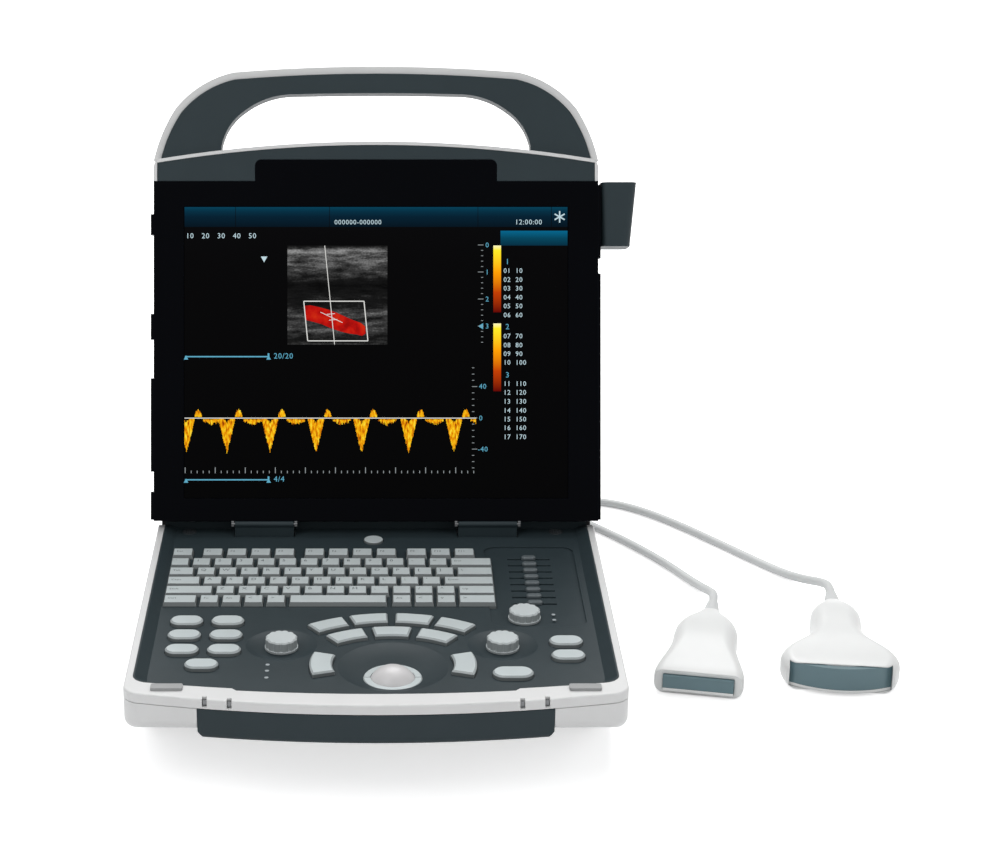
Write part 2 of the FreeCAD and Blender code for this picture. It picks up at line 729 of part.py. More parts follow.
def make_small_base_parts():
    feet = new_body("rubber_feet")
    spots = [(x, y) for x in (-140.0, 140.0) for y in (-2.0, size("bevel_back") + 18)]
    pad(feet, [e for x, y in spots for e in circle(x, y, 9.0)], 0.0, "sizes.feet_height")
    soften(feet, "Chamfer", 1.0, lambda e: flat_at(e, 2, 0.0))

    pads = new_body("lid_rest_pads")
    for side in (-1, 1):
        pad(pads, rounded_rectangle(side * 143.2, -278.2, 22.0, 7.5, 1.5), "sizes.base_top", 2.0)

    grilles = new_body("speaker_grilles")
    pad(grilles, [e for x, y in GRILLES for e in circle(x, y, 5.6)], panel_floor - 1.0, 1.2)
    holes = [
        e
        for x, y in GRILLES
        for i in range(-2, 3)
        for j in range(-2, 3)
        if i * i + j * j < 6
        for e in circle(x + 1.8 * i, y + 1.8 * j, 0.55)
    ]
    pocket(grilles, holes, panel_floor + 1.0, 3.0)

    tabs = new_body("latch_keepers")
    hooks = [e for s in (-1, 1) for x in LATCH_X for e in rectangle(s * x, front_edge(x) + 3.2, 2.4, 2.0)]
    pad(tabs, hooks, size("base_top") - 6.0, 4.4)

    rear = new_body("rear_io_panel")
    rear_face = -size("base_rear")
    middle = (case_floor + size("case_top")) / 2
    pad(rear, rectangle(0, middle, 289.4, 49.4), rear_face + 1.6, 1.4, "XZ_Plane", reverse=True)
    ports = [e for x in SOCKETS.values() for e in rectangle(x, SOCKET_Z, 58.0, 24.0)]
    ports += rectangle(-72.0, 26.0, 14.0, 7.0) + rectangle(-72.0, 40.0, 14.0, 7.0) + circle(-130.0, 30.0, 5.0)
    ports += [e for i in range(7) for e in rectangle(-120.0 + 5.0 * i, 52.0, 2.4, 12.0)]
    pocket(rear, ports, rear_face - 1.0, 5.0, "XZ_Plane", reverse=True)
    for x in SOCKETS.values():
        rim = rectangle(x, SOCKET_Z, 66.0, 32.0) + rectangle(x, SOCKET_Z, 57.0, 23.0)
        pad(rear, rim, rear_face - SOCKET_RIM, SOCKET_RIM + 1.5, "XZ_Plane")


def make_inside():
    board = new_body("keyboard_board")
    pad(board, rectangle(0, -82.5, 312.0, 129.0), board_top - 1.6, 1.6)

    main = new_body("main_board")
    pad(main, rectangle(20.0, -110.0, 220.0, 130.0), case_floor + 6.0, 1.6)
    chips = [(0.0, -100.0, 34.0), (60.0, -80.0, 24.0), (60.0, -130.0, 24.0), (-40.0, -130.0, 18.0)]
    pad(main, [e for x, y, w in chips for e in rectangle(x, y, w, w)], case_floor + 7.6, 3.0)
    spacers = [e for x in (-82.0, 122.0) for y in (-167.0, -53.0) for e in circle(x, y, 3.0)]
    pad(main, spacers, case_floor + 6.0, 5.95, reverse=True)

    supply = new_body("power_supply")
    pad(supply, rectangle(-135.0, -84.0, 56.0, 98.0), case_floor + 0.05, 34.0)
    soften(supply, "Chamfer", 2.0, lambda e: flat_at(e, 2, case_floor + 34.05))

    frame = new_body("fan_frame")
    x, z, half = -105.0, case_floor + 21.0, 20.0
    back = -(size("base_rear") - size("case_wall") - 0.1)
    pad(frame, rectangle(x, z, 2 * half, 2 * half), back, 10.0, "XZ_Plane")
    pocket(frame, circle(x, z, 18.4), back + 11.0, 9.5, "XZ_Plane")
    pad(frame, circle(x, z, 1.5), back + 1.0, 7.0, "XZ_Plane")
    rotor = new_body("fan_rotor")
    pad(rotor, circle(x, z, 8.0), back + 3.4, 5.6, "XZ_Plane")
    for i in range(7):
        a, b = polar((x, z), 7.0, i * 360 / 7), polar((x, z), 17.6, i * 360 / 7 + 14)
        side = Vector(b[1] - a[1], a[0] - b[0], 0).normalize()
        blade = [(a[0] + side.x, a[1] + side.y), (b[0] + side.x, b[1] + side.y), (b[0] - side.x, b[1] - side.y), (a[0] - side.x, a[1] - side.y)]
        pad(rotor, polygon(blade), back + 3.8, 4.8, "XZ_Plane")
    pocket(rotor, circle(x, z, 1.5 + size("running_gap")), back + 12.0, 12.0, "XZ_Plane")


# ---------------------------------------------------------------- lid, drawn in its own plane: x across, y up the lid, -z into it


def lid_top(offset, half):
    """The bowed top edge of the lid, moved in by an offset: its middle height and its height at a half width."""
    centre, radius = lid_bow(offset)
    return centre + radius, centre + math.sqrt(radius**2 - half**2)


def lid_bow(offset=0.0):
    sag = size("lid_top_middle") - size("lid_top_corner")
    radius = (half_lid**2 + sag**2) / (2 * sag)
    return size("lid_top_middle") - radius, radius - offset


def make_lid_shell():
    body = new_body("lid_back_cover", LID)
    middle, side = lid_top(0.0, half_lid)
    outline = [
        line((-half_lid, 0), (half_lid, 0)),
        line((half_lid, 0), (half_lid, side)),
        arc((half_lid, side), (0, middle), (-half_lid, side)),
        line((-half_lid, side), (-half_lid, 0)),
    ]
    thick = size("lid_thickness")
    pad(body, outline, -thick, thick)
    soften(body, "Fillet", 7.0, lambda e: e.BoundBox.ZLength > thick - 1 and e.BoundBox.YMin > 100)
    soften(body, "Fillet", 12.0, lambda e: flat_at(e, 2, -thick))
    # seat of the bezel, and of the dark strip inside the pale rim
    seat = size("bezel_depth")
    pocket(body, rectangle(0, size("bezel_height") / 2 - 10, 2 * half_lid + 10, size("bezel_height") + 20.4), 1.0, seat + 1)
    rim = 2.7
    inner_half = half_lid - rim
    middle_in, side_in = lid_top(rim, inner_half)
    strip = [
        line((-inner_half, 250), (inner_half, 250)),
        line((inner_half, 250), (inner_half, side_in)),
        arc((inner_half, side_in), (0, middle_in), (-inner_half, side_in)),
        line((-inner_half, side_in), (-inner_half, 250)),
    ]
    pocket(body, strip, 1.0, seat + 1)
    # room for the display
    pocket(body, rectangle(0, 134.0, 2 * half_lid - 24, 240.0), -seat + 1, thick - seat - 3 + 1)
    return body


def hinge_notch(body):
    """Room for the base's hinge barrels along the lower edge."""
    drop = size("hinge_drop")
    notch = circle(-drop, -drop, size("barrel_radius") + 0.35)
    for side in (-1, 1):
        pocket(body, notch, side * HINGE_X - COVER_WIDTH / 2 - 0.6, COVER_WIDTH + 1.2, "YZ_Plane", reverse=True)


TAB_HALF, TAB_TOP, TAB_ROUND = 95.5, 286.0, 5.0


def tab_edges(low, gap=0.0):
    """Sides, rounded shoulders and top of the bezel's tab, from its right foot round to its left one."""
    half, top, r = TAB_HALF + gap, TAB_TOP + gap, TAB_ROUND
    k = r * (1 - math.sqrt(0.5))
    return [
        line((half, low), (half, top - r)),
        arc((half, top - r), (half - k, top - k), (half - r, top)),
        line((half - r, top), (-half + r, top)),
        arc((-half + r, top), (-half + k, top - k), (-half, top - r)),
        line((-half, top - r), (-half, low)),
    ]


def make_bezel():
    body = new_body("display_bezel", LID)
    depth, height = size("bezel_depth") - 0.2, size("bezel_height")
    pad(body, rectangle(0, height / 2, 2 * half_lid, height), -depth, depth)
    foot = [line((-TAB_HALF, height - 1), (TAB_HALF, height - 1))]
    pad(body, foot + tab_edges(height - 1), -depth, depth)
    # rubber-like ribs along the sides
    left = [(226.5, 243.0), (143.6, 164.0), (39.0, 113.0), (1.0, 23.0)]
    right = [(208.0, 266.0), (1.0, 196.0)]
    ribs = [e for a, b in left for e in rectangle(-half_lid - 1.0, (a + b) / 2, 2.8, b - a)]
    ribs += [e for a, b in right for e in rectangle(half_lid + 1.0 - 0.2, (a + b) / 2, 2.4, b - a)]
    pad(body, ribs, -depth + 3.0, depth - 4.0)
    # window and the room for the display module behind it
    middle = size("screen_bottom") + size("screen_height") / 2
    window = rectangle(0, middle, size("screen_width") + 0.6, size("screen_height") + 0.6)
    pocket(body, window, 1.0, depth + 2)
    module = rectangle(0, middle, size("screen_width") + 25.0, size("screen_height") + 21.0)
    pocket(body, module, -3.0, depth)
    hinge_notch(body)
    # slots for the leaves of the hinges
    for side in (-1, 1):
        for x in (side * HINGE_X - COVER_WIDTH / 2 - 3.0, side * HINGE_X + COVER_WIDTH / 2 + 0.6):
            slot = polygon([(-1.0, -1.2), (7.2, -1.2), (7.2, -10.3), (-1.0, -10.3)])
            pocket(body, slot, x, 2.4, "YZ_Plane", reverse=True)
    return body


def make_lid_front():
    strip = new_body("lid_top_trim", LID)
    rim, depth = 2.9, size("bezel_depth") - 0.2
    half = half_lid - rim
    middle, side = lid_top(rim, half)
    low = size("bezel_height") + 0.2
    outline = [
        line((-half, low), (-TAB_HALF - 0.3, low)),
        *tab_edges(low, 0.3),
        line((TAB_HALF + 0.3, low), (half, low)),
        line((half, low), (half, side)),
        arc((half, side), (0, middle), (-half, side)),
        line((-half, side), (-half, low)),
    ]
    pad(strip, outline, -depth, depth - 0.4)

    display = new_body("lcd_panel", LID)
    middle = size("screen_bottom") + size("screen_height") / 2
    glass = rectangle(0, middle, size("screen_width"), size("screen_height"))
    pad(display, glass, -3.6, 3.2)
    module = rectangle(0, middle, size("screen_width") + 24.0, size("screen_height") + 20.0)
    pad(display, module, -size("bezel_depth") + 1.0, size("bezel_depth") - 1.0 - 3.3)


def handle_edges(inset=0.0):
    """Outer contour of the carrying handle above the lid, as half points from the lid's corner to the middle."""
    top = size("handle_top") - inset
    corner, rise = size("lid_top_corner"), size("handle_top")
    points = [
        (half_lid + 1.0 - inset, corner - 1.0),
        (half_lid - 5.4 - inset * 0.95, corner + 20.0 - inset * 0.2),
        (half_lid - 16.5 - inset * 0.85, rise - 33.5 - inset * 0.55),
        (half_lid - 33.5 - inset * 0.55, rise - 17.5 - inset * 0.85),
        (half_lid - 63.0 - inset * 0.2, top - 4.6),
    ]
    return points, top


def opening_points(grow=0.0):
    """Contour of the hand opening: from the lid's top edge up and over to the middle of the bar."""
    corner, top = size("lid_top_corner"), size("handle_top") - size("handle_bar") + grow
    points = [
        (half_lid - 52.5 + grow, corner - 6.0),
        (half_lid - 53.4 + grow, corner + 12.0),
        (half_lid - 59.5 + grow * 0.9, top - 26.5 - grow * 0.6),
        (half_lid - 72.0 + grow * 0.7, top - 13.7 - grow * 0.3),
        (half_lid - 88.0 + grow * 0.4, top - 4.9 - grow * 0.1),
        (half_lid - 108.0, top - 0.9),
    ]
    return points, top


def contour(points, top):
    """Mirror-symmetric arch through half points: arcs through every third point, then over the middle."""

    def m(p):
        return (-p[0], p[1])

    edges = [arc(points[i], points[i + 1], points[i + 2]) for i in range(len(points) % 2 == 0, len(points) - 2, 2)]
    if len(points) % 2 == 0:
        edges.insert(0, line(points[0], points[1]))
    edges.append(arc(points[-1], (0, top), m(points[-1])))
    tail = [arc(m(points[i + 2]), m(points[i + 1]), m(points[i])) for i in range(len(points) % 2 == 0, len(points) - 2, 2)]
    edges += tail[::-1]
    if len(points) % 2 == 0:
        edges.append(line(m(points[1]), m(points[0])))
    return edges


def handle_region(outer, inner):
    """Closed outline between two arches that stand on the same level."""
    (outer_points, outer_top), (inner_points, inner_top) = outer, inner
    a, b = outer_points[0], inner_points[0]
    edges = contour(outer_points, outer_top)
    edges.append(line((-a[0], a[1]), (-b[0], b[1])))
    edges += contour(inner_points, inner_top)
    edges.append(line(b, a))
    return edges


def clear_of_lid(body, gap=0.3):
    """Cuts a piece along the bowed top edge of the lid."""
    half = half_lid + 30
    centre, radius = lid_bow(-gap)
    side = centre + math.sqrt(radius**2 - half**2)
    below = [
        arc((half, side), (0, centre + radius), (-half, side)),
        line((-half, side), (-half, 200.0)),
        line((-half, 200.0), (half, 200.0)),
        line((half, 200.0), (half, side)),
    ]
    pocket(body, below, 5.0, 60.0)


def make_handle():
    depth = size("handle_depth")
    back = -(size("lid_thickness") - 3.0)
    outer, opening = handle_edges(), opening_points()
    foot = size("lid_top_corner") - 6.0
    outer = ([(outer[0][0][0], foot)] + outer[0], outer[1])
    strip_inner = handle_edges(5.6)
    strip_inner = ([(strip_inner[0][0][0], foot)] + strip_inner[0], strip_inner[1])

    shell = new_body("handle_shell", LID)
    pad(shell, handle_region(outer, opening_points(2.5)), back, depth * 0.45)
    pad(shell, handle_region(outer, strip_inner), back, depth - 2.5)
    clear_of_lid(shell)
    grip = new_body("handle_grip", LID)
    inside = handle_edges(6.0)
    inside = ([(inside[0][0][0], foot)] + inside[0], inside[1])
    pad(grip, handle_region(inside, opening), back + depth * 0.45, depth * 0.55)
    clear_of_lid(grip)
    return shell, grip


def make_holder():
    """Cup for a probe on the right side of the lid; it opens upwards."""
    body = new_body("probe_holder", LID)
    left = half_lid + 2.5
    deep = size("holder_depth")

    def section(right, inset, front):
        width, thick = right - left - 2 * inset, deep - 2 * inset - front
        return rounded_rectangle((left + right) / 2, -(deep + front) / 2, width, thick, 6.0 - inset * 0.6)

    low, high, wall = 218.0, 268.4, 2.4
    reach = half_lid + 30.6
    loft(body, "AdditiveLoft", [(-high, section(reach, 0, 0)), (-low, section(reach - 4.6, 0, 6))], plane="XZ_Plane")
    loft(
        body,
        "SubtractiveLoft",
        [(-high - 0.01, section(reach, wall, 0)), (-low - wall, section(reach - 4.3, wall, 5.7))],
        plane="XZ_Plane",
    )
    bracket = rectangle(half_lid + 1.4, 236.0, 2.7, 24.0)
    pad(body, bracket, -36.0, 20.0)
    return body


# side view of a leaf: round the pin, up behind the face of the bezel
LEAF = [(-4.2, -4.2), (-4.2, -1.5), (7.0, -1.5), (7.0, -10.0), (0.0, -10.0)]


def make_hinge_pins():
    """Lid half of each hinge: a pin between two leaves that run up into the lid."""
    body = new_body("hinge_pins", LID)
    drop = size("hinge_drop")
    pin, leaf = size("pin_radius"), 2.0
    for side in (-1, 1):
        left = side * HINGE_X - COVER_WIDTH / 2 - 0.8 - leaf
        length = COVER_WIDTH + 1.6 + 2 * leaf
        pad(body, circle(-drop, -drop, pin), left, length, "YZ_Plane")
        for x in (left, left + length - leaf):
            pad(body, polygon(LEAF), x, leaf, "YZ_Plane")
    return body


# ---------------------------------------------------------------- probes and leads

PROBE_LIFT = 0.5
# each probe: where its lens is, how it is turned, and the length and height of its neck
PROBES = {
    "linear": {"at": (241.6, -134.0), "turn": -12.0, "neck": (112.0, 14.5 + PROBE_LIFT)},
    "convex": {"at": (350.0, -127.0), "turn": -7.0, "neck": (116.0, 17.0 + PROBE_LIFT)},
}


def make_probe(name, sections, lens_edges, lens_height, lens_middle, socket_edges):
    place = PROBES[name]
    placement = BASE * Placement(Vector(*place["at"], 0), Rotation(Vector(0, 0, 1), place["turn"]))
    shell = new_body(f"{name}_probe_shell", placement)
    outlines = []
    for along, width, thick, lift in sections:
        radius = min(width, thick) * 0.38
        outlines.append((-along, rounded_rectangle(0, PROBE_LIFT + lift + thick / 2, width, thick, radius)))
    loft(shell, "AdditiveLoft", outlines, ruled=False, plane="XZ_Plane")
    pocket(shell, socket_edges, lens_middle + lens_height / 2 + 0.3, lens_height + 0.6)
    lens = new_body(f"{name}_probe_lens", placement)
    pad(lens, lens_edges, lens_middle - lens_height / 2, lens_height)
    return shell, lens


def make_probes():
    linear = [(3.0, 66.0, 19.0, 0.0), (16.0, 66.0, 20.5, 0.0), (36.0, 54.0, 26.0, 0.0), (52.0, 49.0, 29.0, 0.0), (82.0, 44.0, 28.5, 0.0), (98.0, 30.0, 23.0, 2.5), (112.0, 17.0, 17.0, 6.0)]
    window, seat = rectangle(0, 3.0, 53.0, 6.0), rectangle(0, 1.0, 53.6, 10.6)
    make_probe("linear", linear, window, 12.5, 9.8, seat)
    convex = [(2.0, 80.0, 22.0, 0.5), (14.0, 89.0, 24.5, 0.0), (27.0, 84.0, 26.0, 0.0), (45.0, 52.0, 29.0, 0.0), (60.0, 40.0, 30.0, 0.5), (92.0, 37.0, 30.0, 1.5), (104.0, 27.0, 24.0, 5.0), (116.0, 17.0, 17.0, 8.5)]
    half, sag = 38.0, 11.0
    lens = [
        arc((-half, 7.0), (0, 7.0 - sag), (half, 7.0)),
        line((half, 7.0), (half, 12.0)),
        arc((half, 12.0), (0, 12.0 - sag), (-half, 12.0)),
        line((-half, 12.0), (-half, 7.0)),
    ]
    half += 0.3
    seat = [
        line((-half, -20.0), (half, -20.0)),
        line((half, -20.0), (half, 12.35)),
        arc((half, 12.35), (0, 12.35 - sag), (-half, 12.35)),
        line((-half, 12.35), (-half, -20.0)),
    ]
    make_probe("convex", convex, lens, 20.0, 12.3, seat)


# Routes of the leads. Each goes from its plug on the rear panel down to a coil behind the scanner,
# and from the coil along the table to the probe's neck.
CABLE = size("cable_diameter")
FLOOR = CABLE / 2
BOOT = 26.0
COIL_Y = 190.0
COIL_TURN = size("coil_radius") + CABLE / 2
COILS = {name: (x + COIL_TURN, COIL_Y) for name, x in SOCKETS.items()}
EXIT_BEARING = {"linear": 50.0, "convex": 0.0}
LEAD_IN = [(102.0, 38.0), (120.0, 33.5), (138.0, 27.0), (155.0, 20.5), (169.5, 17.5)]
LEAD_OUT = {
    "linear": [
        (221.0, 150.0, FLOOR),
        (245.0, 110.0, FLOOR),
        (261.0, 76.0, FLOOR),
        (268.5, 57.0, 5.5),
        (273.0, 38.0, 10.0),
    ],
    "convex": [
        (103.0, 239.0, FLOOR),
        (140.0, 246.0, FLOOR),
        (176.0, 251.0, FLOOR),
        (208.0, 247.0, FLOOR),
        (235.0, 229.0, FLOOR),
        (263.0, 198.0, FLOOR),
        (294.0, 155.0, FLOOR),
        (324.0, 112.0, FLOOR),
        (343.0, 86.0, 4.0),
        (356.0, 68.5, 7.0),
        (365.5, 51.0, 12.5),
    ],
}


def neck(name):
    """Rear end of a probe's shell and the direction away from it."""
    place = PROBES[name]
    heading = Rotation(Vector(0, 0, 1), place["turn"]).multVec(Vector(0, 1, 0))
    return Vector(*place["at"], place["neck"][1]) + heading * place["neck"][0], heading


def lead_in(name):
    x = SOCKETS[name]
    start = size("base_rear") + SOCKET_RIM + 0.2 + PLUG[2] + BOOT
    return [Vector(x, start, SOCKET_Z)] + [Vector(x, y, z) for y, z in LEAD_IN]


def lead_out(name):
    x, y = COILS[name]
    bearing = math.radians(EXIT_BEARING[name])
    outwards = Vector(math.sin(bearing), math.cos(bearing), 0)
    onwards = Vector(outwards.y, -outwards.x, 0)
    leaves = Vector(x, y, FLOOR) + outwards * COIL_TURN
    rear, heading = neck(name)
    points = [leaves + onwards * 20.0, leaves + onwards * 43.0]
    points += [Vector(*point) for point in LEAD_OUT[name]]
    return points + [rear + heading * (BOOT + 19.0), rear + heading * BOOT]


def smooth_path(points):
    """Straight runs joined by arcs that are as large as the runs allow."""
    edges, start = [], points[0]
    for before, corner, after in zip(points, points[1:], points[2:]):
        arrive, leave = (corner - before), (after - corner)
        half_turn = arrive.getAngle(leave) / 2
        cut = 0.45 * min(arrive.Length, leave.Length)
        radius = cut / math.tan(half_turn)
        print(f"  radius {radius:7.1f} at {tuple(round(c, 1) for c in corner)}")
        arrive.normalize()
        leave.normalize()
        first, last = corner - arrive * cut, corner + leave * cut
        inwards = (leave - arrive).normalize()
        via = corner + inwards * radius * (1 / math.cos(half_turn) - 1)
        edges.append(Part.LineSegment(start, first).toShape())
        edges.append(Part.Arc(first, via, last).toShape())
        start = last
    edges.append(Part.LineSegment(start, points[-1]).toShape())
    return Part.Wire(edges)


def tube(points):
    """A round lead swept along its path; the volume shows that the sweep is whole."""
    path = smooth_path(points)
    section = Part.Wire(Part.Circle(points[0], points[1] - points[0], CABLE / 2).toShape())
    solid = path.makePipeShell([section], True, False)
    expected = math.pi * (CABLE / 2) ** 2 * path.Length
    print(f"tube of {path.Length:.0f} mm, volume {solid.Volume / expected:.4f} of section times length")
    return solid


def make_leads():
    for name in SOCKETS:
        cord = doc.addObject("Part::Feature", f"{name}_cord")
        cord.Shape = Part.makeCompound([tube(lead_in(name)), tube(lead_out(name))])
        cord.Placement = BASE
        cord.Label = f"{name}_cord"
        coil = new_body(f"{name}_coil")
        high = 3 * CABLE
        section = rounded_rectangle(size("coil_radius"), high / 2, 2 * CABLE, high, 3.0)
        turn(coil, "Revolution", section, COILS[name])


def make_plugs():
    width, height, length = PLUG
    face = size("base_rear") + SOCKET_RIM + 0.2
    top = SOCKET_Z + height / 2
    plugs = new_body("probe_plugs")
    for x in SOCKETS.values():
        pad(plugs, rounded_rectangle(x, SOCKET_Z, width, height, 5.0), -face, length, "XZ_Plane", reverse=True)
        pad(plugs, rectangle(x, SOCKET_Z, 54.0, 20.0), -face - 1.0, 12.0, "XZ_Plane")
    soften(plugs, "Fillet", 3.0, lambda e: flat_at(e, 1, face + length))
    bores = [e for x in SOCKETS.values() for e in circle(x, LEVER_Y, 2.0 + size("running_gap"))]
    pocket(plugs, bores, top + 1.0, 7.0)
    for letter, x in zip("ab", SOCKETS.values()):
        lever = new_body(f"lock_lever_{letter}")
        pad(lever, stadium(x, LEVER_Y, 26.0, 9.0), top + 0.3, 4.0)
        soften(lever, "Chamfer", 0.8, lambda e: flat_at(e, 2, top + 4.3))
        pad(lever, circle(x, LEVER_Y, 2.0), top + 0.8, 6.0, reverse=True)


def make_boots():
    """Tapered strain reliefs: one on each plug and one on each probe's neck."""
    ends = []
    for name, x in SOCKETS.items():
        face = size("base_rear") + SOCKET_RIM + 0.2 + PLUG[2]
        ends.append((Vector(x, face, SOCKET_Z), Vector(0, 1, 0), 8.0))
        ends.append((*neck(name), 7.6))
    cones = []
    for i, (start, heading, radius) in enumerate(ends, start=1):
        cone = doc.addObject("Part::Cone", f"boot_{i}")
        cone.Radius1 = radius
        cone.setExpression("Radius2", "sizes.cable_diameter / 2 + 0.9")
        cone.Height = BOOT
        cone.Placement = Placement(start, Rotation(Vector(0, 0, 1), heading))
        cones.append(cone)
    boots = doc.addObject("Part::Compound", "cable_boots")
    boots.Links = cones
    boots.Placement = BASE
    boots.Label = "cable_boots"


make_lower_case()
make_bumper()
make_trim()
make_panel()
make_keys()
make_knobs()
make_sliders()
make_trackball()
make_hinge_covers()
make_small_base_parts()
make_inside()
make_lid_shell()
make_bezel()
make_lid_front()
make_handle()
make_holder()
make_hinge_pins()
make_probes()
make_leads()
make_plugs()
make_boots()

doc.recompute()
NODES = [thing for thing in doc.Objects if thing.TypeId in ("PartDesign::Body", "Part::Feature", "Part::Compound")]
for thing in doc.Objects:
    if {"Invalid", "Error"} & set(thing.State):
        raise ValueError(f"{thing.Name} failed: {thing.State}")
for node in NODES:
    if node.Shape.isNull() or not node.Shape.isValid():
        raise ValueError(f"{node.Label} has no valid shape")
if len(NODES) > 60:
    raise ValueError(f"{len(NODES)} nodes are too many")
os.makedirs("parts", exist_ok=True)
for node in NODES:
    node.Shape.exportStep(f"parts/{node.Label}.step")
print(len(NODES), "nodes")
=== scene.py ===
import json
import math
import random

import bmesh
import bpy
from mathutils import Matrix, Vector


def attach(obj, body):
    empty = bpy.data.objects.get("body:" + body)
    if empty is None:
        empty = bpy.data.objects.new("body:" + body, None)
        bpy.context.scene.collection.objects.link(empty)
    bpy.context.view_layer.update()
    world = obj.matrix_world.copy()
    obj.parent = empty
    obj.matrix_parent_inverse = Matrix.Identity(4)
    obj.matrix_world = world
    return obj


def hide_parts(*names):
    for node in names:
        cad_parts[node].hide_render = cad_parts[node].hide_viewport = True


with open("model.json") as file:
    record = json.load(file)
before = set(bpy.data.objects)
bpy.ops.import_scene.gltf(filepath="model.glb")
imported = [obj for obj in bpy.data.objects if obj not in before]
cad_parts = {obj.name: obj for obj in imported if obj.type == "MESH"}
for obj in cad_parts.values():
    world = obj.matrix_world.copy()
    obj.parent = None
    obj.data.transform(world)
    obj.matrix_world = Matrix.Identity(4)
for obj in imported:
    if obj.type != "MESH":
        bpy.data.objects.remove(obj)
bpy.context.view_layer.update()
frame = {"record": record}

# Portable ultrasound scanner: finishes, the picture on its screen, legends, leads, light and camera.
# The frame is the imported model's: X right, Y away from the operator, Z up, the table at z = 0.
# Sizes here are in millimetres and become metres with MM. Those of the deck and the leads are measured
# from the lid's line, which is LID_LINE behind the origin.

MM = 0.001
LID_LINE = 143.0
LID_EDGE = 88.0
LID_TILT = math.radians(20.3)
LID_PLACE = Matrix.Translation((0, LID_LINE * MM, LID_EDGE * MM))
LID = LID_PLACE @ Matrix.Rotation(math.pi / 2 - LID_TILT, 4, "X")
SCREEN = {"left": -152.0, "top": 249.0, "width": 304.0, "height": 231.0, "face": -0.4}
BORDER, BAR_HEIGHT = 0.4, 15.8
ECHO = {"left": 81.9, "top": 30.9, "width": 79.1, "height": 78.4}
PANEL_TOP = 75.0
FONT_SCALE = 1.35
CABLE = 7.0


# ---------------------------------------------------------------- materials


class Nodes:
    """A material and short calls that add nodes to it."""

    def __init__(self, name):
        self.material = bpy.data.materials.new(name)
        self.material.use_nodes = True
        self.tree = self.material.node_tree
        self.shader = self.tree.nodes["Principled BSDF"]

    def add(self, kind, **inputs):
        node = self.tree.nodes.new(f"ShaderNode{kind}")
        for key, value in inputs.items():
            if key in node.inputs:
                node.inputs[key].default_value = value
            else:
                setattr(node, key, value)
        return node

    def link(self, source, target):
        self.tree.links.new(source, target)

    def place(self, scale=(1, 1, 1)):
        """Coordinates of the object's own frame, stretched."""
        mapping = self.add("Mapping", Scale=scale)
        self.link(self.add("TexCoord").outputs["Object"], mapping.inputs["Vector"])
        return mapping.outputs["Vector"]

    def noise(self, scale, detail=3.0, stretch=(1, 1, 1), roughness=0.5):
        node = self.add("TexNoise", Scale=scale, Detail=detail, Roughness=roughness)
        self.link(self.place(stretch), node.inputs["Vector"])
        return node.outputs["Fac"]

    def ramp(self, factor, stops):
        node = self.add("ValToRGB")
        elements = node.color_ramp.elements
        while len(elements) < len(stops):
            elements.new(0.5)
        for element, (position, colour) in zip(elements, stops):
            element.position = position
            element.color = (*colour, 1)
        self.link(factor, node.inputs["Fac"])
        return node.outputs["Color"]

    def mix(self, factor, a, b):
        node = self.add("Mix")
        node.data_type = "RGBA"
        for value, socket in ((factor, node.inputs[0]), (a, node.inputs[6]), (b, node.inputs[7])):
            if isinstance(value, (tuple, list)):
                socket.default_value = (*value, 1)
            elif isinstance(value, float):
                socket.default_value = value
            else:
                self.link(value, socket)
        return node.outputs[2]

    def bump(self, height, distance, strength=1.0, normal=None):
        node = self.add("Bump", Strength=strength, Distance=distance)
        self.link(height, node.inputs["Height"])
        if normal:
            self.link(normal, node.inputs["Normal"])
        return node.outputs["Normal"]


def shade(colour, factor):
    return tuple(min(1.0, channel * factor) for channel in colour)


def moulded(
    name,
    colour,
    roughness=0.42,
    grain=2600.0,
    depth=0.00003,
    edge=0.0005,
    edge_wear_and_highlight=1.25,
    blotch=0.05,
    specular=0.5,
    side=1.0,
):
    """Moulded plastic or rubber: faint blotches, a fine grain, edges lighter, partly from wear and partly
    from a painted highlight.

    side is a painted shade: how bright the upright faces are painted, beside the level ones.
    """
    m = Nodes(name)
    blotches = m.noise(28.0, 4.0)
    base = m.ramp(blotches, [(0.3, shade(colour, 1 - blotch)), (0.7, shade(colour, 1 + blotch))])
    soft = m.add("Bevel", Radius=edge)
    soft.samples = 4
    geometry = m.add("NewGeometry")
    # Edge mask from the bevel normal: the edges are painted lighter, partly as wear and partly as a painted
    # highlight.
    facing = m.add("VectorMath", operation="DOT_PRODUCT")
    m.link(soft.outputs["Normal"], facing.inputs[0])
    m.link(geometry.outputs["Normal"], facing.inputs[1])
    worn_and_highlit_edge = m.add("MapRange")
    worn_and_highlit_edge.inputs["From Min"].default_value = 0.995
    worn_and_highlit_edge.inputs["From Max"].default_value = 0.80
    m.link(facing.outputs["Value"], worn_and_highlit_edge.inputs["Value"])
    # Painted shade: upright faces get side times the colour, so they read darker than the level tops.
    if side < 1.0:
        split = m.add("SeparateXYZ")
        m.link(geometry.outputs["Normal"], split.inputs[0])
        level = m.add("MapRange")
        level.inputs["From Min"].default_value = 0.5
        level.inputs["From Max"].default_value = 0.9
        m.link(split.outputs["Z"], level.inputs["Value"])
        base = m.mix(level.outputs["Result"], shade(colour, side), base)
    m.link(m.mix(worn_and_highlit_edge.outputs["Result"], base, shade(colour, edge_wear_and_highlight)), m.shader.inputs["Base Color"])
    rough = m.add("MapRange")
    rough.inputs["To Min"].default_value = max(0.02, roughness - 0.06)
    rough.inputs["To Max"].default_value = roughness + 0.06
    m.link(m.noise(90.0, 5.0), rough.inputs["Value"])
    m.link(rough.outputs["Result"], m.shader.inputs["Roughness"])
    m.link(m.bump(m.noise(grain, 2.0), depth, 0.6, soft.outputs["Normal"]), m.shader.inputs["Normal"])
    m.shader.inputs["Specular IOR Level"].default_value = specular
    return m.material


